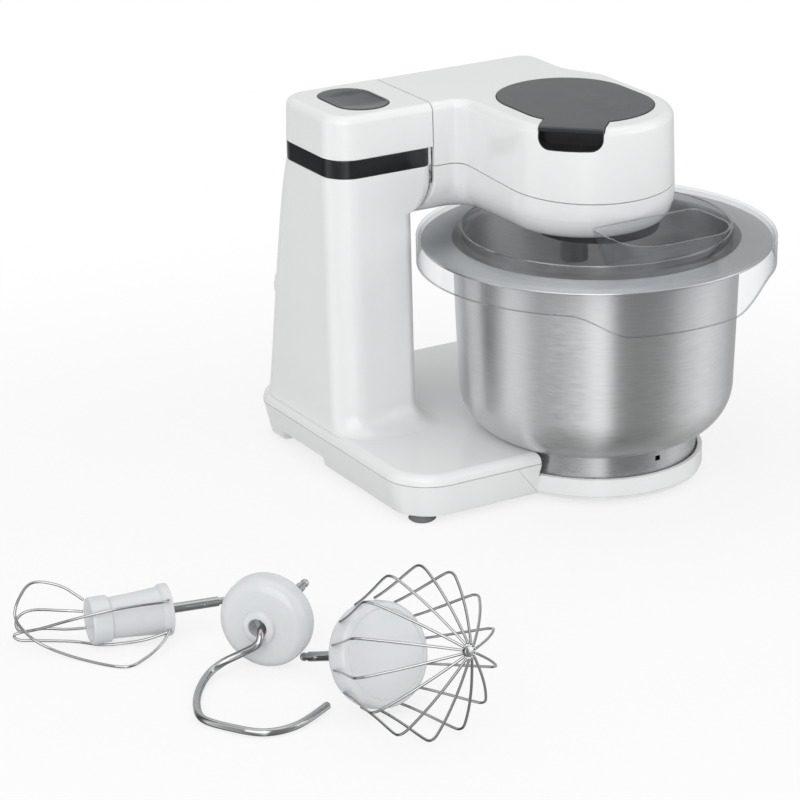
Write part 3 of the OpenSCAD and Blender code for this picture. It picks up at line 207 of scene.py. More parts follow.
def revolve(name, profile, steps=144, centre=(0, 0), place=None, loop=False):
    """Turns a profile of (r, z) about an upright axis; a loop profile closes on itself."""
    verts, faces = [], []
    n = len(profile)
    for k in range(steps):
        t = 2 * math.pi * k / steps
        c, s = math.cos(t), math.sin(t)
        verts += [(centre[0] + r * c, centre[1] + r * s, z) for r, z in profile]
    for k in range(steps):
        for i in range(n if loop else n - 1):
            j = (i + 1) % n
            a, b = k * n, (k + 1) % steps * n
            faces.append((a + i, a + j, b + j, b + i))
    return mesh_object(name, verts, faces, place)


def cylinder(r1, r2, low, high, centre=(0, 0), steps=96):
    return revolve("tool", [(0, low), (r1, low), (r2, high), (0, high)], steps, centre)


def rod(x, y, z, length, r):
    """Cylinder along +Y."""
    turn = Matrix.Translation((x, y, z)) @ Matrix.Rotation(math.radians(-90), 4, "X")
    return revolve("tool", [(0, 0), (r, 0), (r, length), (0, length)], 64, place=turn)


def block(x, y, z, dx, dy, dz, angle=0, centre=(0, 0)):
    """Box from a low corner given about centre, turned about centre by angle."""
    turn = Matrix.Translation((centre[0], centre[1], 0)) @ Matrix.Rotation(
        math.radians(angle), 4, "Z"
    )
    low = [(x, y, z), (x + dx, y, z), (x + dx, y + dy, z), (x, y + dy, z)]
    return loft("tool", [low, [(p[0], p[1], z + dz) for p in low]], place=turn)


def prism(points, low, high):
    return loft("tool", [[(x, y, low) for x, y in points], [(x, y, high) for x, y in points]])


def join(objects):
    """Puts the meshes of all objects into the first one."""
    bm = bmesh.new()
    for o in objects:
        bm.from_mesh(o.data)
    for o in objects[1:]:
        bpy.data.objects.remove(o)
    bm.to_mesh(objects[0].data)
    bm.free()
    return objects[0]


def bake(o):
    """Turns the modifiers of o into its mesh."""
    graph = bpy.context.evaluated_depsgraph_get()
    me = bpy.data.meshes.new_from_object(o.evaluated_get(graph))
    o.modifiers.clear()
    o.data = me
    return o


def combine(o, tools, operation="DIFFERENCE"):
    for t in tools:
        m = o.modifiers.new("join", "BOOLEAN")
        m.operation = operation
        m.solver = "EXACT"
        m.object = t
        bake(o)
        bpy.data.objects.remove(t)
    return o


def cut(o, *tools):
    return combine(o, tools)


def add(o, *tools):
    return combine(o, tools, "UNION")


def both(o, *tools):
    return combine(o, tools, "INTERSECT")


def finish_mesh(o, angle=30, edge=0.0):
    """Smooth shading that keeps corners crisp; edge puts a small moulded radius on them."""
    bm = bmesh.new()
    bm.from_mesh(o.data)
    bmesh.ops.remove_doubles(bm, verts=bm.verts, dist=2e-6)
    bmesh.ops.dissolve_degenerate(bm, edges=bm.edges, dist=2e-6)
    bm.to_mesh(o.data)
    bm.free()
    if edge:
        m = o.modifiers.new("edge", "BEVEL")
        m.width = edge * 0.001
        m.segments = 2
        m.limit_method = "ANGLE"
        m.angle_limit = math.radians(50)
        bake(o)
    o.data.shade_smooth()
    o.data.set_sharp_from_angle(angle=math.radians(angle))
    m = o.modifiers.new("normals", "WEIGHTED_NORMAL")
    m.keep_sharp = True
    m.weight = 60
    return o


def dress(o, name, body, slot, material, *stands_for):
    """Names a piece, gives it its finish and lets it ride on its body."""
    o.name = name
    o.data.name = name
    o.data.materials.clear()
    o.data.materials.append(material)
    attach(o, body)
    if stands_for:
        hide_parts(*stands_for)
    return o


# ---------- materials ----------


class Paint:
    """A node material whose pattern is laid out in the object's own space."""

    def __init__(self, name, color, rough, metallic=0.0, **sockets):
        self.mat = bpy.data.materials.new(name)
        self.mat.use_nodes = True
        self.tree = self.mat.node_tree
        self.bsdf = self.tree.nodes["Principled BSDF"]
        self.put("Base Color", (*color, 1))
        self.put("Roughness", rough)
        self.put("Metallic", metallic)
        for key, value in sockets.items():
            self.put(key.replace("_", " "), value)
        self.color, self.rough = color, rough
        self.place = self.node("ShaderNodeTexCoord").outputs["Object"]

    def put(self, socket, value):
        self.bsdf.inputs[socket].default_value = value

    def node(self, kind, **values):
        n = self.tree.nodes.new(kind)
        for key, value in values.items():
            setattr(n, key, value)
        return n

    def link(self, a, b):
        self.tree.links.new(a, b)

    def noise(self, scale, stretch=(1, 1, 1), detail=3, source=None):
        m = self.node("ShaderNodeMapping")
        m.inputs["Scale"].default_value = stretch
        self.link(source or self.place, m.inputs["Vector"])
        n = self.node("ShaderNodeTexNoise")
        n.inputs["Scale"].default_value = scale
        n.inputs["Detail"].default_value = detail
        self.link(m.outputs["Vector"], n.inputs["Vector"])
        return n.outputs["Fac"]

    def ramp(self, fac, low, high):
        r = self.node("ShaderNodeMapRange")
        r.inputs["To Min"].default_value = low
        r.inputs["To Max"].default_value = high
        r.inputs["From Min"].default_value = 0.3
        r.inputs["From Max"].default_value = 0.7
        self.link(fac, r.inputs["Value"])
        return r.outputs["Result"]

    def vary_rough(self, fac, amount):
        self.link(
            self.ramp(fac, self.rough - amount, self.rough + amount),
            self.bsdf.inputs["Roughness"],
        )
        return self

    def vary_color(self, fac, amount):
        m = self.node("ShaderNodeMix", data_type="RGBA")
        m.inputs["A"].default_value = (*[c * (1 - amount) for c in self.color], 1)
        m.inputs["B"].default_value = (
            *[min(1, c * (1 + amount)) for c in self.color],
            1,
        )
        self.link(self.ramp(fac, 0, 1), m.inputs["Factor"])
        self.link(m.outputs["Result"], self.bsdf.inputs["Base Color"])
        return self

    def bump(self, height, strength, distance):
        b = self.node("ShaderNodeBump")
        b.inputs["Strength"].default_value = strength
        b.inputs["Distance"].default_value = distance
        self.link(height, b.inputs["Height"])
        self.link(b.outputs["Normal"], self.bsdf.inputs["Normal"])
        return self


def moulded(name, color, rough, grain, strength, **sockets):
    """Moulded plastic: a fine grain, cloudy gloss and a slight drift of colour."""
    p = Paint(name, color, rough, **sockets)
    p.vary_rough(p.noise(55, detail=4), rough * 0.18)
    p.vary_color(p.noise(9), 0.012)
    return p.bump(p.noise(grain, detail=2), strength, 0.0002)


def brushed(name, color, rough, centre, fine=1000, depth=0.2, **sockets):
    """Steel brushed round an upright axis: short fine lines that follow height and radius."""
    p = Paint(name, color, rough, 1.0, **sockets)
    grain = p.node("ShaderNodeTangent", direction_type="RADIAL", axis="Z")
    p.link(grain.outputs["Tangent"], p.bsdf.inputs["Tangent"])
    m = p.node("ShaderNodeVectorMath", operation="SUBTRACT")
    m.inputs[1].default_value = (centre[0], centre[1], 0)
    p.link(p.place, m.inputs[0])
    flat = p.node("ShaderNodeVectorMath", operation="MULTIPLY")
    flat.inputs[1].default_value = (1, 1, 0)
    p.link(m.outputs["Vector"], flat.inputs[0])
    length = p.node("ShaderNodeVectorMath", operation="LENGTH")
    p.link(flat.outputs["Vector"], length.inputs[0])
    split = p.node("ShaderNodeSeparateXYZ")
    p.link(m.outputs["Vector"], split.inputs[0])
    total = p.node("ShaderNodeMath", operation="ADD")
    p.link(length.outputs["Value"], total.inputs[0])
    p.link(split.outputs["Z"], total.inputs[1])
    line = p.node("ShaderNodeCombineXYZ")
    p.link(split.outputs["X"], line.inputs["X"])
    p.link(split.outputs["Y"], line.inputs["Y"])
    p.link(total.outputs["Value"], line.inputs["Z"])
    lines = p.noise(1, (90, 90, fine), 4, line.outputs[0])
    p.vary_rough(lines, rough * 0.16)
    p.vary_color(lines, 0.05)
    return p.bump(lines, depth, 0.00004)


def metal(name, color, rough, scale=900, strength=0.05):
    """Drawn or turned metal: faint scratches and cloudy gloss."""
    p = Paint(name, color, rough, 1.0)
    p.vary_rough(p.noise(120, detail=4), rough * 0.4)
    p.vary_color(p.noise(40), 0.03)
    return p.bump(p.noise(scale, (1, 1, 0.15), 3), strength, 0.00004)


def clear_plastic():
    """Thin clear moulding: see-through face on, with painted shade that greys it at glancing angles and at
    its edges, where it is also glossier.
    """
    mat = bpy.data.materials.new("clear_plastic")
    mat.use_nodes = True
    t = mat.node_tree
    t.nodes.clear()
    put, link = t.nodes.new, t.links.new

    def math_node(operation, a, b, c=0.0):
        n = put("ShaderNodeMath")
        n.operation = operation
        for socket, value in zip(n.inputs, (a, b, c)):
            if isinstance(value, float):
                socket.default_value = value
            else:
                link(value, socket)
        return n.outputs["Value"]

    out = put("ShaderNodeOutputMaterial")
    through, gloss = put("ShaderNodeBsdfTransparent"), put("ShaderNodeBsdfGlossy")
    mix, shaded_see_through = put("ShaderNodeMixShader"), put("ShaderNodeMix")
    facing, edge = put("ShaderNodeLayerWeight"), put("ShaderNodeAttribute")
    coord, noise, bump = put("ShaderNodeTexCoord"), put("ShaderNodeTexNoise"), put("ShaderNodeBump")
    facing.inputs["Blend"].default_value = 0.5
    edge.attribute_name = "edge"
    gloss.inputs["Roughness"].default_value = 0.04
    noise.inputs["Scale"].default_value = 35
    bump.inputs["Strength"].default_value = 0.04
    bump.inputs["Distance"].default_value = 0.0008
    shaded_see_through.data_type = "RGBA"
    shaded_see_through.inputs["A"].default_value = (0.98, 0.985, 0.99, 1)
    shaded_see_through.inputs["B"].default_value = (0.42, 0.45, 0.47, 1)
    slope = facing.outputs["Facing"]
    # Painted shade: the see-through colour turns grey at glancing angles and on the marked edges
    grey = math_node("MULTIPLY", math_node("POWER", slope, 6.0), 0.8)
    grey = math_node("MAXIMUM", grey, math_node("MULTIPLY", edge.outputs["Fac"], 0.65))
    shine = math_node("MULTIPLY_ADD", math_node("POWER", slope, 5.0), 0.6, 0.035)
    shine = math_node("MULTIPLY_ADD", edge.outputs["Fac"], 0.3, shine)
    link(coord.outputs["Object"], noise.inputs["Vector"])
    link(noise.outputs["Fac"], bump.inputs["Height"])
    link(bump.outputs["Normal"], gloss.inputs["Normal"])
    link(grey, shaded_see_through.inputs["Factor"])
    link(shaded_see_through.outputs["Result"], through.inputs["Color"])
    link(shine, mix.inputs["Fac"])
    link(through.outputs["BSDF"], mix.inputs[1])
    link(gloss.outputs["BSDF"], mix.inputs[2])
    link(mix.outputs["Shader"], out.inputs["Surface"])
    return mat


axis_m = (AXIS[0] * 0.001, AXIS[1] * 0.001)
white = moulded("white_gloss", (0.86, 0.868, 0.872), 0.11, 2200, 0.04, Specular_IOR_Level=0.55)
hub_white = moulded(
    "hub_white", (0.7, 0.72, 0.735), 0.13, 1800, 0.05, Subsurface_Weight=0.15,
    Subsurface_Scale=0.004,
)
band_black = moulded("band_gloss", (0.012, 0.013, 0.015), 0.1, 2000, 0.04)
charcoal = moulded("charcoal_satin", (0.022, 0.025, 0.029), 0.2, 5200, 0.05)
# Near-black, painted shade for the sheet in the finger pocket
pocket_shade_black = moulded("pocket_shade_black", (0.004, 0.0045, 0.005), 0.3, 5200, 0.1)
dark = moulded("dark_plastic", (0.05, 0.053, 0.057), 0.38, 4200, 0.2)
grey = moulded("grey_plastic", (0.33, 0.34, 0.35), 0.42, 4200, 0.2)
rubber = moulded("rubber_grey", (0.16, 0.165, 0.17), 0.75, 3000, 0.45)
board = moulded("board_green", (0.06, 0.22, 0.11), 0.5, 1200, 0.3)
bowl_steel = brushed(
    "bowl_steel", (0.72, 0.728, 0.735), 0.34, axis_m, Anisotropic=0.85, Anisotropic_Rotation=0.25
)
# A darker copy of the bowl's steel: painted shade on the bowl's foot, which sits low under the bowl
shaded_foot_steel = brushed(
    "shaded_foot_steel", (0.56, 0.57, 0.58), 0.3, axis_m, 1400, 0.12, Anisotropic=0.8, Anisotropic_Rotation=0.25
)
chrome = metal("bright_steel", (0.5, 0.505, 0.51), 0.12)
plain_steel = metal("plain_steel", (0.56, 0.565, 0.57), 0.32, 500, 0.18)
copper = metal("copper", (0.72, 0.36, 0.17), 0.3, 700, 0.2)
clear = clear_plastic()

SLOTS = {
    "white_shell": white.mat,
    "dark_band": band_black.mat,
    "dark_plastic": dark.mat,
    "grey_plastic": grey.mat,
    "button_grey": charcoal.mat,
    "rubber": rubber.mat,
    "bowl_steel": bowl_steel.mat,
    "bright_steel": chrome.mat,
    "plain_steel": plain_steel.mat,
    "clear_lid": clear,
    "copper": copper.mat,
    "board": board.mat,
}
for part in frame["record"]["subparts"]:
    o = nodes[part["node"]]
    o.data.materials.clear()
    o.data.materials.append(SLOTS[part["material_slot"]])


# ---------- base and tower ----------

DECK = [
    (-170.5, -36, 33, 8),
    (-44.7, -36, 1, 1),
    (59.6, 11.175, 1, 1),
    (75, 14.9, 1, 1),
    (75, 194, 28, 7),
    (-170.5, 194, 28, 7),
]


def far_flare(z):
    s = max(BAND - z, 0)
    return 0.165 * s + 6 * (1 - math.exp(-s / 25))


def fillet_out(z):
    if z >= FOOT_Z:
        return 0
    return FILLET - math.sqrt(max(FILLET**2 - (FOOT_Z - z) ** 2, 0))


def tower_front(z):
    if z >= ARC_TOP:
        return -JOINT
    if z <= ARM_LOW:
        return -NECK
    k = (ARC_TOP - z) / (ARC_TOP - ARM_LOW)
    return -NECK + (NECK - JOINT) * math.sqrt(max(1 - k * k, 0))


def tower_ring(z, d=0.0):
    f = fillet_out(z)
    near = NEAR - 0.02 * max(BAND - z, 0) - f
    far = FAR + far_flare(z) + f * 0.4
    r = 20 + f * 0.6
    return ring(
        [
            (-LEFT - f * 0.12, near, r, 7),
            (tower_front(z) + f, near, 8 + f, 5),
            (tower_front(z) + f, far, 8 + f, 5),
            (-LEFT - f * 0.12, far, r, 7),
        ],
        d,
        z,
    )


ARC = [ARM_LOW + (ARC_TOP - ARM_LOW) * (1 - math.cos(math.radians(t))) for t in range(0, 91, 6)]
FOOT = [FOOT_Z - FILLET * math.cos(math.radians(t)) for t in range(2, 89, 5)]


def edge_arc(d, z, step):
    """Moulded edge as rows of (inset, height) that rise from inset d at height z."""
    turns = [math.radians(a) for a in range(step, 91, step)]
    return [(d + EDGE_R * (1 - math.cos(t)), z + EDGE_R * math.sin(t)) for t in turns]


def slots():
    """Passages in the tower's front for the two hinge arms and the catch's tongue."""
    out = [block(-JOINT - 14, y - 0.8, TOP - 52, 16, ARM_SLOT, 45.5) for y in ARM_Y]
    return out + [block(-JOINT - 14, 99.75, TOP - 45, 16, 14, 30)]


def deck_rings(profile):
    return [ring(DECK, d, z) for d, z in profile]


def tray(gap=0.0):
    return loft("tool", deck_rings([(7 + gap, BOTTOM_Z), (5.6 + gap, BOTTOM_Z + 0.6),
                                    (5 + gap, BOTTOM_Z + 2), (gap, TRAY_Z - gap)]))


seam_profile = [(1.4, TRAY_Z), (1.1, TRAY_Z + 0.35), (0.2, TRAY_Z + 0.6), (0, TRAY_Z + 0.9),
                (0.4, TRAY_Z + 2)]
housing = loft("tool", deck_rings(seam_profile + edge_arc(0.4, TRAY_Z + 2, 10)))
tower_heights = [DECK_Z - 0.5] + [z + 0.01 for z in FOOT] + [FOOT_Z] + span(66, 180, 6) + ARC
tower_rings = [tower_ring(z) for z in tower_heights + [BAND - 1]]
tower_rings += [tower_ring(BAND - 0.35, 0.12), tower_ring(BAND - 0.05, 0.4)]
tower = loft("tool", tower_rings)
add(
    housing,
    tower,
    both(tray(), cylinder(SEAT_R, 93, SEAT_LOW, TRAY_Z + 0.1, steps=144)),
    rod(KNOB[0], KNOB[1] - 14, KNOB[2], 14, 24),
    rod(GLAND[0], GLAND[1] - 9, GLAND[2], 9, 9),
)
inside = loft("tool", [[(x, y, 32.5) for x, y, _ in tower_ring(FOOT_Z, WALL)]]
              + [tower_ring(z, WALL) for z in [FOOT_Z, 120] + ARC[::3] + [BAND + 1]])
under_deck = cut(loft("tool", deck_rings([(2.9, TRAY_Z - 1), (4, DECK_Z - WALL)])),
                 cylinder(78.5, 78.5, 10, 50))
cut(housing, under_deck, inside, cylinder(76, 76, SEAT_Z - 0.6, 60, steps=144),
    cylinder(71.5, 71.5, 5, 60, steps=144))
cut(housing, *slots(), rod(KNOB[0], KNOB[1] - 39, KNOB[2], 40, SHAFT_HOLE),
    rod(GLAND[0], GLAND[1] - 40, GLAND[2], 50, SHAFT_HOLE))
dress(finish_mesh(housing), "housing_shell", "base", "white_shell", white.mat, "base_housing")

seat = revolve(
    "tool",
    [(0, SEAT_LOW + 2), (70, SEAT_LOW + 2), (70, SEAT_LOW), (73.9, SEAT_LOW), (SEAT_R, SEAT_LOW + 0.6),
     (SEAT_R, 18.3), (74.15, 19.15), (73.3, SEAT_Z), (71.6, SEAT_Z), (71, 18.9), (71, SEAT_FLOOR),
     (57, SEAT_FLOOR), (57, 16.4), (56.4, 17), (0, 17)],
    192,
)
dress(finish_mesh(seat, 40), "seat_ring", "base", "white_shell", white.mat)

pan = tray(0.02)
cut(pan, cylinder(SEAT_R + 0.3, 93.3, SEAT_LOW, TRAY_Z + 0.1, steps=144))
hollow = loft("tool", deck_rings([(9.5, BOTTOM_Z + WALL), (WALL, TRAY_Z + 1)]))
cut(hollow, block(-171.5, 89.5, 3.5, 19.5, 65, 10.5))
cut(pan, hollow, block(-171.5, 92, 3.5, 17, 60, 8))
vents = [block(-146 + i * 5, 96, 0, 2.4, 36, 12) for i in range(9)]
holes = [cylinder(COUNTERBORE, COUNTERBORE, 0, 5.7, p, 32)
         for p in ((-150, 8), (-92, 22), (-92, 172), (50, 160))]
sockets = [cylinder(3.02, 3.02, 0, 6.02, p, 32)
           for p in ((-150.5, -17), (-150.5, 178), (52, 172), (-29, -45))]
cut(pan, *vents, *holes, *sockets)
dress(finish_mesh(pan), "tray_shell", "base", "white_shell", white.mat, "bottom_tray")
under_seat = cylinder(73.3, 73.3, BOTTOM_Z + 0.02, 6.8, steps=192)
dress(finish_mesh(under_seat, edge=0.4), "seat_underside", "base", "white_shell", white.mat)

band = loft("tool", [tower_ring(z, d) for z, d in (
    (BAND, 0.6), (BAND + 0.35, 0.3), (BAND + 0.8, 0.2), (CAP - 0.8, 0.2), (CAP - 0.35, 0.3), (CAP, 0.6))])
cut(band, loft("tool", [tower_ring(z, WALL) for z in (BAND - 1, CAP + 1)]),
    block(-JOINT - WALL - 0.1, 68, BAND - 1, 6, 77.5, 20))
dress(finish_mesh(band), "band_shell", "base", "dark_band", band_black.mat, "tower_band")

CAP_CORNERS = [(-LEFT, NEAR, 20, 7), (-JOINT + 30, NEAR, 2, 1), (-JOINT + 30, FAR, 2, 1),
               (-LEFT, FAR, 20, 7)]
cap_profile = [(0.45, CAP), (0.1, CAP + 0.4), (0.05, CAP + 0.9), (0.6, TOP - EDGE_R)]
cap_profile += edge_arc(0.6, TOP - EDGE_R, 9)
cap = loft("tool", [ring(CAP_CORNERS, d, z) for d, z in cap_profile])
both(cap, block(-300, 0, 0, 300 - JOINT, 300, 300))
cut(cap, loft("tool", [tower_ring(z, WALL) for z in (CAP - 1, TOP - WALL)]))
add(cap, block(-JOINT - WALL, 68.1, BAND + 0.1, WALL, 77.3, 15))
cut(cap, *slots(), prism(slot_points(BUTTON_W, BUTTON_L, BUTTON, 0.5), TOP - 3.5, TOP + 5))
dress(finish_mesh(cap), "cap_shell", "base", "white_shell", white.mat, "tower_cap")


def button():
    """Round-ended plate with a shallow dish for the thumb, on its guide stem."""
    rings = []
    for d, z in ((1.2, 258.8), (0, 258.85), (0, 260.4), (0.25, 260.9), (0.7, 261.2), (1.3, 261.3)):
        rings.append([(x, y, z) for x, y in slot_points(BUTTON_W, BUTTON_L, BUTTON, -d)])
    for d in [2.2 + 1.4 * k for k in range(12)]:
        dish = []
        for x, y in slot_points(BUTTON_W, BUTTON_L, BUTTON, -d):
            r = math.hypot(x - BUTTON[0] - 3, y - BUTTON[1] + 4)
            fall = max(0, 1 - (r / 25) ** 2)
            dish.append((x, y, 261.3 - 1.35 * fall * fall * (3 - 2 * fall)))
        rings.append(dish)
    plate = loft("tool", rings)
    stem = cylinder(4, 4, 223, 259.4, (BUTTON[0] - 6, BUTTON[1]), 32)
    return add(plate, stem)


dress(finish_mesh(button(), 40), "button_plate", "button", "button_grey", charcoal.mat, "release_button")


# ---------- head ----------


def seam(y):
    """Height of the seam between the head's two shells, which rises away from the viewer."""
    return SEAM_Z + 0.06 * y


def head_ring(z, d, w=0.0):
    rear = tower_front(z) + 1.2 - d
    return ring(
        [
            (rear, NEAR, 0.8, 2),
            (LOBE[0] - LOBE_R - 2.2, NEAR, 10, 5),
            (LOBE[0] - LOBE_R, LOBE[1] - LOBE_R, LOBE_R - 0.1, 14),
            (LOBE[0] + LOBE_R, LOBE[1] - LOBE_R, LOBE_R - 0.1, 14),
            (LOBE[0] + LOBE_R, FAR - 78, 29, 4),
            (LOBE[0] + LOBE_R - 14, FAR - 51, 29, 3),
            (LOBE[0] + LOBE_R - 14, FAR, 14, 4),
            (rear, FAR, 0.8, 2),
        ],
        d + w,
        z,
    )


def head_inset(z):
    """How far the head draws in at height z: round underneath, a slight draft above the seam."""
    if z < HEAD_LOW + HEAD_R:
        return 12 * (1 - math.sqrt(max(1 - ((HEAD_LOW + HEAD_R - z) / HEAD_R) ** 2, 0)))
    return 1.4 * max(z - SEAM_Z, 0) / (TOP - SEAM_Z)


def head_at(z, w=0.0):
    return head_ring(z, head_inset(z), w)


def above_seam(gap):
    low = [(-200, y, seam(y) + gap) for y in (-100, 200)]
    high = [(-200, y, 300) for y in (200, -100)]
    side = low + high
    return loft("tool", [side, [(200, y, z) for _, y, z in side]])


def cover_form(grow, low, high):
    """Round-ended plate with the lip over the finger pocket."""
    width = 2 * (46.5 + grow)
    plate = prism(slot_points(width, width + 26, (LAY[0], 21), steps=48), low, high)
    reach = LOBE_R - 1.4 - 22.2 + grow
    lip = block(20, -22 - grow, low, reach, 44 + 2 * grow, high - low, LIP_ANGLE, LOBE)
    return add(plate, lip)


def pocket_form(grow=0.0):
    w = 22 + grow
    corners = [(-w, POCKET_Z - grow, 8 + grow, 5), (w, POCKET_Z - grow, 8 + grow, 5),
               (w, POCKET_Z + 20, 0.1, 1), (-w, POCKET_Z + 20, 0.1, 1)]
    side = rounded(corners)
    spin = Matrix.Rotation(math.radians(LIP_ANGLE), 4, "Z")
    turn = Matrix.Translation((LOBE[0], LOBE[1], 0)) @ spin
    return loft("tool", [[(x, a, b) for a, b in side] for x in (44 - grow, 68 - grow)], place=turn)


def head_top():
    rings = [head_at(z) for z in (201, 205, 210, 225, 240, TOP - EDGE_R)]
    rings += [head_ring(z, head_inset(z) + d) for d, z in edge_arc(0, TOP - EDGE_R, 9)]
    return loft("tool", rings)


def rear_slots():
    """Passages in the head's rear wall for the hinge arms and the catch's tongue."""
    out = [block(-JOINT - 20, y - 0.8, HEAD_LOW + 20, 26, ARM_SLOT, 23) for y in ARM_Y]
    return out + [block(-JOINT - 20, 100.15, 222.4, 26, 13.2, 5.2)]


upper = both(head_top(), above_seam(SEAM_GAP))
cut(upper, loft("tool", [head_at(200, WALL), head_at(210, WALL),
                         head_ring(RECESS_Z - WALL, head_inset(RECESS_Z - WALL), WALL + 0.6)]))
add(upper, both(head_top(), pocket_form(WALL)),
    cylinder(20, 20, WELL_Z, RECESS_Z - 1, LAY))
cut(upper, cover_form(0.5, RECESS_Z, 280), pocket_form(),
    cylinder(18, 18, WELL_Z + WALL, 290, LAY), cylinder(9.5, 9.5, WELL_Z - 1, WELL_Z + 9, LAY),
    *rear_slots())
dress(finish_mesh(upper, edge=0.35), "head_top_shell", "head", "white_shell", white.mat, "head_upper_shell")

# Near-black sheet laid over the finger pocket's walls: painted shade of the recess under the cover's lip
shade_sheet = both(head_top(), pocket_form(-0.06))
cut(shade_sheet, pocket_form(-0.9), block(-300, -100, COVER_Z - 0.2, 400, 400, 20))
dress(finish_mesh(shade_sheet), "pocket_shade_sheet", "head", "dark_band", pocket_shade_black.mat)

round_z = [HEAD_LOW + HEAD_R * (1 - math.cos(math.radians(t))) for t in range(0, 91, 9)]
LOW_Z = sorted({round(z, 3) for z in round_z + ARC[::2] + [225, TOP - 24]})
lower = cut(loft("tool", [head_at(z) for z in LOW_Z]), above_seam(-SEAM_GAP),
            loft("tool", [head_at(z, WALL) for z in [186.5, 188.5] + ARC[4::2] + [TOP - 23]]),
            cylinder(42, 42, HEAD_LOW - 1, HEAD_LOW + 9, steps=144), *rear_slots())
for p in ((-78, 128), (38, 84)):
    cut(lower, cylinder(COUNTERBORE, COUNTERBORE, HEAD_LOW - 1, HEAD_LOW + 8, p, 32))
# Small oval recess in the near side of the lower shell
catch = prism(slot_points(5, 13, (0, 0)), 0, 2)
catch.data.transform(Matrix.Translation((-AXIS[0] * 0.001, -AXIS[1] * 0.001, 0)))
catch.data.transform(Matrix.Rotation(math.radians(-90), 4, "X"))
catch.data.transform(Matrix.Translation(
    ((-79 + AXIS[0]) * 0.001, (NEAR - 1 + AXIS[1]) * 0.001, (HEAD_LOW + 8) * 0.001)))
cut(lower, catch)
dress(finish_mesh(lower, edge=0.3), "head_low_shell", "head", "white_shell", white.mat, "head_lower_shell")

cover = cover_form(0, COVER_Z, TOP + 0.5)
finish_mesh(cover, edge=0.9)
dress(cover, "cover_plate", "cover", "button_grey", charcoal.mat)
cup = revolve("tool", [(0, 254.2), (15, 254.2), (15, 254), (17.2, 254), (17.5, 254.5), (17.5, COVER_Z + 0.5),
                       (0, COVER_Z + 0.5)], 72, LAY)
dress(finish_mesh(cup), "cover_cup", "cover", "button_grey", charcoal.mat, "drive_cover")


# ---------- bowl and lid ----------


def arc(centre, r, first, last, step):
    """Points of an arc between two angles in degrees."""
    n = max(1, round(abs(last - first) / step))
    return [(centre[0] + r * math.cos(math.radians(a)), centre[1] + r * math.sin(math.radians(a)))
            for a in span(first, last, n)]


sheet = [(0, 32)] + arc((59, 68), 36, -90, 0, 5) + [(96.8, 118)]
sheet += [(98.3, 165.6), (98.6, 168.6), (99.3, 169.7), (101, 169.8), (119.2, 167.4)]
sheet += arc((119.6, 167.75), 0.8, -80, 90, 20) + [(101.2, 170.75), (98.9, 170.75)]
sheet += [(97.9, 169.6), (97.5, 165.4), (96, 118)] + arc((59, 68), 35.2, 0, -90, 5) + [(0, 32.8)]
bowl = revolve("tool", sheet, 192)
dress(finish_mesh(bowl, 45), "bowl_sheet", "bowl", "bowl_steel", bowl_steel.mat, "bowl")
# The bowl's foot takes the darker steel copy, its painted shade
nodes["bowl_foot"].data.materials[0] = shaded_foot_steel.mat
nodes["drive_carrier"].data.materials[0] = dark.mat


def skirt_low(angle):
    """Lower edge of the lid's skirt: straight, with a wide smooth tab at the front."""
    x = LID_R * math.cos(angle)
    low = LID_Z - SKIRT
    if math.sin(angle) >= 0:
        return low
    k = max(0, min(1, (x + 83) / 36, (78 - x) / 46))
    return low - TAB * k * k * (3 - 2 * k)


def lid_ring():
    """Flat ring with a hanging skirt outside and a low collar inside."""
    steps = 240
    verts, faces = [], []
    for k in range(steps):
        t = 2 * math.pi * k / steps
        low = skirt_low(t)
        shape = [
            (LID_R - LID_T, low + 0.9), (LID_R - LID_T, low + 0.3), (LID_R - LID_T + 0.4, low),
            (LID_R - 0.4, low), (LID_R, low + 0.3), (LID_R, low + 0.9),
            (LID_R, LID_Z + 0.6), (LID_R - 0.25, LID_Z + 1.3), (LID_R - 0.9, LID_Z + LID_T),
            (HOLE_R + 0.6, LID_Z + LID_T), (HOLE_R, LID_Z + LID_T + 0.6), (HOLE_R, LID_Z + 6),
            (HOLE_R, LID_Z + 6.6), (HOLE_R - 0.4, LID_Z + 7), (HOLE_R - LID_T + 0.4, LID_Z + 7),
            (HOLE_R - LID_T, LID_Z + 6.6), (HOLE_R - LID_T, LID_Z + 6), (HOLE_R - LID_T, LID_Z),
            (LID_R - LID_T - 0.6, LID_Z), (LID_R - LID_T, LID_Z - 0.6),
        ]
        verts += [(r * math.cos(t), r * math.sin(t), z) for r, z in shape]
        n = len(shape)
        for i in range(n):
            a, b = k * n, (k + 1) % steps * n
            faces.append((a + i, a + (i + 1) % n, b + (i + 1) % n, b + i))
    return mesh_object("tool", verts, faces)


def chute_ring(f, d, z):
    """Outline of the chute, which widens from the lid (f 0) to its rim (f 1)."""
    return ring([(-34 - 11 * f, -57.5, 8, 4), (-34 - 11 * f, -92 - 24 * f, 26, 6),
                 (45 - 3 * f, -92 - 24 * f, 26, 6), (45 - 3 * f, -57.5, 8, 4)], d, z)


def chute(d, low, high):
    height = CHUTE_TOP - LID_Z
    return [chute_ring((z - LID_Z) / height, d, z) for z in span(low, high, 6)]


lid = lid_ring()
cut(lid, loft("tool", chute(LID_T / 2, LID_Z - 1, LID_Z + 3)))
tube_rings = chute(0, LID_Z, CHUTE_TOP - 1)
tube_rings += [chute_ring(0.98, 0, CHUTE_TOP - 0.4), chute_ring(1, 0.4, CHUTE_TOP)]
tube_rings += [chute_ring(1, LID_T - 0.4, CHUTE_TOP), chute_ring(0.98, LID_T, CHUTE_TOP - 0.4)]
tube_rings += chute(LID_T, LID_Z, CHUTE_TOP - 1)[::-1]
lid = join([lid, loft("tool", tube_rings, caps=False)])
finish_mesh(lid, 40)
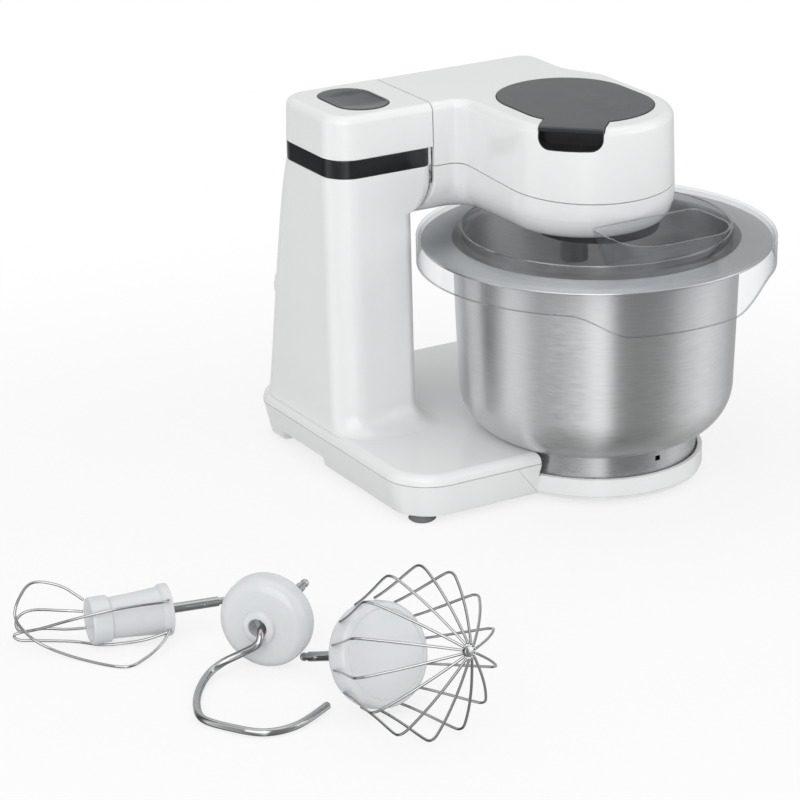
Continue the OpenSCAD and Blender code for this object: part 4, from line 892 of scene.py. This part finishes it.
# Marks the lid's free edges, where clear_plastic is glossier and greyed by painted shade
edge = lid.data.attributes.new("edge", "FLOAT", "POINT")
for v, mark in zip(lid.data.vertices, edge.data):
    x, y, z = v.co * 1000 - Vector((*AXIS, 0))
    at_skirt = math.hypot(x, y) > LID_R - 2 and z < skirt_low(math.atan2(y, x)) + 0.35
    mark.value = float(at_skirt or z > CHUTE_TOP - 0.6 or LID_Z + 6.5 < z < LID_Z + 7.1)
dress(lid, "lid_clear", "lid", "clear_lid", clear, "lid")


# ---------- tools ----------


def laid(place, azimuth, elevation):
    """Place of a tool on the worktop, its own Z along the shank."""
    return (
        Matrix.Translation(place)
        @ Matrix.Rotation(math.radians(azimuth), 4, "Z")
        @ Matrix.Rotation(math.radians(90 - elevation), 4, "Y")
    )


STIR = laid((-377.5, -92, 17), 169, 0)
HOOK = laid((-341, -159, 29.2), 218, 0)
BEAT = laid((-317, -253.5, 35.2), -80.4, 20.5)


def tube(points, r, sides, place):
    """Round wire along a curve, a little thinner at its two ends."""
    dirs = [(points[min(i + 1, len(points) - 1)] - points[max(i - 1, 0)]).normalized()
            for i in range(len(points))]
    u = dirs[0].orthogonal().normalized()
    rings = []
    path = [(points[0], r * TIP_R), (points[0] + dirs[0] * r * TIP_LENGTH, r)]
    path += [(p, r) for p in points[1:-1]]
    path += [(points[-1] - dirs[-1] * r * TIP_LENGTH, r), (points[-1], r * TIP_R)]
    dirs = [dirs[0]] + dirs + [dirs[-1]]
    for (p, radius), t in zip(path, dirs):
        u = (u - t * u.dot(t)).normalized()
        v = t.cross(u)
        rings.append([p + (u * math.cos(a) + v * math.sin(a)) * radius
                      for a in [2 * math.pi * k / sides for k in range(sides)]])
    return loft("tool", rings, place=place)


def around(points, angle):
    """The points turned about the tool's own axis."""
    turn = Matrix.Rotation(math.radians(angle), 3, "Z")
    return [turn @ Vector(p) for p in points]


def hub(name, body, profile, place, node):
    o = revolve("tool", profile, 96, place=place, loop=True)
    dress(finish_mesh(o, 40), name, body, "white_shell", hub_white.mat, node)


STIR_WIRES = (
    ((7, 16, 4), (11, 24, 11), (14.5, 34, 24.4), (15.8, 39, 39.3), (15.8, 19.6, 60.5), (13, -0.4, 78.4),
     (5, -7, 89), (-7, -8.4, 95.2), (-17, -14.6, 90), (-23, -19, 80.4), (-20, -14.5, 64.6), (-12, -6, 52.2)),
    ((-12, 13, 3), (-13, 17, 8.4), (-13, 16.4, 26.9), (-11, 14, 47.1), (-5, 5.9, 66.4), (4, -8.2, 82.4),
     (7, -16, 91.2), (3, -22.7, 91.9), (-1, -24.5, 86.7), (-3, -22, 78.7), (-4, -12.7, 64), (-3, -9, 52.2)),
    ((7.5, 16.1, 3), (12.5, 12.2, 17.8), (15.4, 6.5, 32), (15.9, 2.5, 45), (15.9, -8.5, 59.7),
     (15.9, -18, 80.9), (15.5, -22, 91), (12, -23.5, 92.5), (9, -19, 77), (8, -10.8, 63.3), (6, -4, 52.2)),
)
wires = join([tube(curve(p, 8), 0.9, 12, STIR) for p in STIR_WIRES])
dress(finish_mesh(wires, 60), "stir_wires", "stir_whisk", "bright_steel", chrome.mat, "stir_whisk_wires")
hub("stir_hub", "stir_whisk",
    [(3.12, 0), (15.7, 0), (16.3, 0.3), (16.5, 1), (16.5, 4.6), (15.9, 5.8), (14.9, 6.6), (14.2, 16),
     (13.5, 26), (13.05, 36), (13.2, 38), (14.3, 38.7), (14.8, 39.4), (14.8, 49.6), (14.5, 50.5),
     (13.8, 51), (0, 51), (0, 48.1), (3.12, 48.1)], STIR, "stir_whisk_hub")

HOOK_PATH = (
    (1, 1, 12.6), (2, 2, 19), (8, 2, 23.8), (15, -8, 25), (21, -19, 30), (25, -24, 40),
    (26.4, -21, 60), (26.4, -13, 80), (26.4, -2, 94), (26.4, 18, 98.5), (26.4, 39, 97.5),
    (26.4, 53, 82), (25, 60.5, 54),
)
hook = tube(curve(HOOK_PATH, 9), 2.4, 20, HOOK)
dress(finish_mesh(hook, 60), "hook_wire", "dough_hook", "bright_steel", chrome.mat, "dough_hook_wire")
hub("hook_dome", "dough_hook",
    [(3.12, -9), (13.4, -9), (14.6, -8.8), (20, -7.2), (24.6, -5.2), (26.9, -3.2), (28.4, -1), (29, 1),
     (29, 8), (28.8, 10), (27.8, 12.4), (25.6, 14.6), (22, 16), (17, 16.5), (11.6, 16.6), (10.9, 17),
     (10.3, 18.8), (9.4, 19.6), (6.6, 20), (6, 19.6), (6, 10), (3.12, 10)], HOOK, "dough_hook_dome")

PETAL = (
    (33.2, 0, -4), (36.2, 0, 5), (41, 0, 17), (47.2, 0, 31), (49.8, 0, 37.5), (50.6, 0, 41.5),
    (49.4, 0, 46), (45.6, 0, 51), (36, 0, 60.5), (24, 0, 70.5), (12, 0, 79), (4.3, 0, 84),
)
petals = [tube(curve(around(PETAL, (i + 0.5) * 360 / BEAT_COUNT), 8), 0.85, 10, BEAT)
          for i in range(BEAT_COUNT)]
knot = revolve("tool", [(0, 82), (2.9, 82), (3.3, 82.4), (3.3, 84.5), (2.8, 85), (0, 85)], 32, place=BEAT)
dress(finish_mesh(join(petals + [knot]), 60), "beat_wires", "beat_whisk", "bright_steel", chrome.mat,
      "beat_whisk_wires")
hub("beat_disc", "beat_whisk",
    [(3.12, -30), (7.4, -30), (8.2, -29), (9, -25.4), (10.2, -20.4), (14, -18.4), (20, -16.4), (26, -14),
     (29, -12), (31.2, -10), (32.2, -7), (32.2, -3.4), (31.7, 1.8), (31.1, 3.4), (29.8, 4.5),
     (27.6, 4.9), (26.9, 4.5), (26.1, 5.2), (16, 5.8), (0, 6), (0, 4.1), (3.12, 4.1)],
    BEAT, "beat_whisk_hub")


# ---------- stage, light and camera ----------


# The room as glossy surfaces reflect it: pale soft boxes and darker gaps round the object, as
# pairs of (turn from 0 to 1, how bright)
ROOM = (
    (0.0, 0.3), (0.045, 0.33), (0.06, 0.85), (0.075, 1.1), (0.095, 1.0), (0.12, 0.72), (0.155, 0.5),
    (0.195, 0.36), (0.23, 0.5), (0.27, 0.85), (0.305, 1.0), (0.33, 0.5), (0.36, 0.16), (0.41, 0.1),
    (0.45, 0.3), (0.52, 0.75), (0.69, 0.45), (0.76, 0.75), (0.81, 0.85), (0.865, 0.62), (0.91, 0.38),
    (0.95, 0.32), (1.0, 0.3),
)
# Strength of the even light from all round, which reflections and the camera don't see
FILL = 0.57
# The room's strength by how far up a ray points, from -1 to 1, and the floor's glow by the
# distance from its middle in metres: each a pair of (where, how bright)
ROOM_LOW, ROOM_HIGH = (-0.85, 0.55), (-0.42, 1.0)
GLOW_NEAR, GLOW_FAR = (0.3, 0.76), (0.75, 1.0)
# Half the floor's side in metres
FLOOR_HALF = 12
# Area lamps: name, place and aim in metres, width and height, watts
LAMPS = (
    ("key", (-1.5, -1.4, 1.2), (0, 0, 0.1), (2.4, 2.0), 23.5),
    ("top", (0.1, 0.1, 1.9), (0.05, 0, 0), (2.4, 2.2), 8.3),
    ("side", (1.5, -1.1, 0.8), (0.1, 0, 0.1), (1.4, 1.4), 6.5),
)


def smooth_range(put, low, high):
    """Smooth step from one (where, how bright) to another."""
    n = put("ShaderNodeMapRange")
    n.interpolation_type = "SMOOTHSTEP"
    n.inputs["From Min"].default_value, n.inputs["To Min"].default_value = low
    n.inputs["From Max"].default_value, n.inputs["To Max"].default_value = high
    return n


def background():
    """White to the camera, the room to reflections, an even light to all else."""
    world = bpy.data.worlds.new("studio")
    bpy.context.scene.world = world
    world.use_nodes = True
    t = world.node_tree
    t.nodes.clear()
    put, link = t.nodes.new, t.links.new
    out = put("ShaderNodeOutputWorld")
    seen, room, fill = (put("ShaderNodeBackground") for _ in range(3))
    pick_room, pick_seen = put("ShaderNodeMixShader"), put("ShaderNodeMixShader")
    path, place = put("ShaderNodeLightPath"), put("ShaderNodeTexCoord")
    split, ramp = put("ShaderNodeSeparateXYZ"), put("ShaderNodeValToRGB")
    seen.inputs["Color"].default_value = (1, 1, 1, 1)
    fill.inputs["Color"].default_value = (1, 1, 1, 1)
    fill.inputs["Strength"].default_value = FILL
    ramp.color_ramp.interpolation = "EASE"
    for i, (at, v) in enumerate(ROOM):
        e = ramp.color_ramp.elements[i] if i < 2 else ramp.color_ramp.elements.new(at)
        e.position = at
        e.color = (v, v, v, 1)
    angle, turn = put("ShaderNodeMath"), put("ShaderNodeMapRange")
    angle.operation = "ARCTAN2"
    turn.inputs["From Min"].default_value = -math.pi
    turn.inputs["From Max"].default_value = math.pi
    link(place.outputs["Generated"], split.inputs[0])
    link(split.outputs["X"], angle.inputs[0])
    link(split.outputs["Y"], angle.inputs[1])
    link(angle.outputs["Value"], turn.inputs["Value"])
    link(turn.outputs["Result"], ramp.inputs["Fac"])
    link(ramp.outputs["Color"], room.inputs["Color"])
    low = smooth_range(put, ROOM_LOW, ROOM_HIGH)
    link(split.outputs["Z"], low.inputs["Value"])
    link(low.outputs["Result"], room.inputs["Strength"])
    link(path.outputs["Is Glossy Ray"], pick_room.inputs["Fac"])
    link(fill.outputs["Background"], pick_room.inputs[1])
    link(room.outputs["Background"], pick_room.inputs[2])
    link(path.outputs["Is Camera Ray"], pick_seen.inputs["Fac"])
    link(pick_room.outputs["Shader"], pick_seen.inputs[1])
    link(seen.outputs["Background"], pick_seen.inputs[2])
    link(pick_seen.outputs["Shader"], out.inputs["Surface"])


def floor():
    """White worktop that keeps the shadows near the object and that reflections see through."""
    me = bpy.data.meshes.new("floor")
    s = FLOOR_HALF
    me.from_pydata([(-s, -s, 0), (s, -s, 0), (s, s, 0), (-s, s, 0)], [], [(0, 1, 2, 3)])
    o = bpy.data.objects.new("floor", me)
    bpy.context.scene.collection.objects.link(o)
    mat = bpy.data.materials.new("floor")
    mat.use_nodes = True
    t = mat.node_tree
    t.nodes.clear()
    put, link = t.nodes.new, t.links.new
    out, mix, clear_way = (
        put("ShaderNodeOutputMaterial"), put("ShaderNodeMixShader"), put("ShaderNodeMixShader")
    )
    matt, glow, through = (
        put("ShaderNodeBsdfDiffuse"), put("ShaderNodeEmission"), put("ShaderNodeBsdfTransparent")
    )
    path, coord = put("ShaderNodeLightPath"), put("ShaderNodeTexCoord")
    far, most, share = put("ShaderNodeVectorMath"), put("ShaderNodeMath"), put("ShaderNodeMath")
    near = smooth_range(put, GLOW_NEAR, GLOW_FAR)
    matt.inputs["Color"].default_value = (0.9, 0.9, 0.9, 1)
    glow.inputs["Color"].default_value = (1, 1, 1, 1)
    far.operation, most.operation, share.operation = "LENGTH", "MAXIMUM", "MULTIPLY"
    link(coord.outputs["Object"], far.inputs[0])
    link(far.outputs["Value"], near.inputs["Value"])
    link(path.outputs["Is Camera Ray"], most.inputs[0])
    link(path.outputs["Is Transmission Ray"], most.inputs[1])
    link(most.outputs["Value"], share.inputs[0])
    link(near.outputs["Result"], share.inputs[1])
    link(share.outputs["Value"], mix.inputs["Fac"])
    link(matt.outputs["BSDF"], mix.inputs[1])
    link(glow.outputs["Emission"], mix.inputs[2])
    link(path.outputs["Is Glossy Ray"], clear_way.inputs["Fac"])
    link(mix.outputs["Shader"], clear_way.inputs[1])
    link(through.outputs["BSDF"], clear_way.inputs[2])
    link(clear_way.outputs["Shader"], out.inputs["Surface"])
    me.materials.append(mat)


def lamp(name, place, aim, size, power):
    data = bpy.data.lights.new(name, "AREA")
    data.shape = "RECTANGLE"
    data.size, data.size_y = size
    data.energy = power
    o = bpy.data.objects.new(name, data)
    bpy.context.scene.collection.objects.link(o)
    o.location = place
    o.rotation_euler = (Vector(aim) - Vector(place)).to_track_quat("-Z", "Y").to_euler()


background()
floor()
for row in LAMPS:
    lamp(*row)

# The photo's view: the camera's right, up and back, its place in metres, its lens in millimetres
camera = bpy.data.objects.new("camera", bpy.data.cameras.new("camera"))
bpy.context.scene.collection.objects.link(camera)
right = Vector((0.86464, -0.50213, -0.01613))
up = Vector((0.19065, 0.29826, 0.93525))
back = Vector((-0.46481, -0.81173, 0.35362))
turn = Matrix((right, up, back)).transposed().to_4x4()
camera.matrix_world = Matrix.Translation((-0.99065, -1.69003, 0.84812)) @ turn
camera.data.sensor_width = 36
camera.data.lens = 145.67
camera.data.clip_end = 50
bpy.context.scene.camera = camera
bpy.context.scene.view_settings.view_transform = "Standard"
bpy.context.scene.cycles.transparent_max_bounces = 24
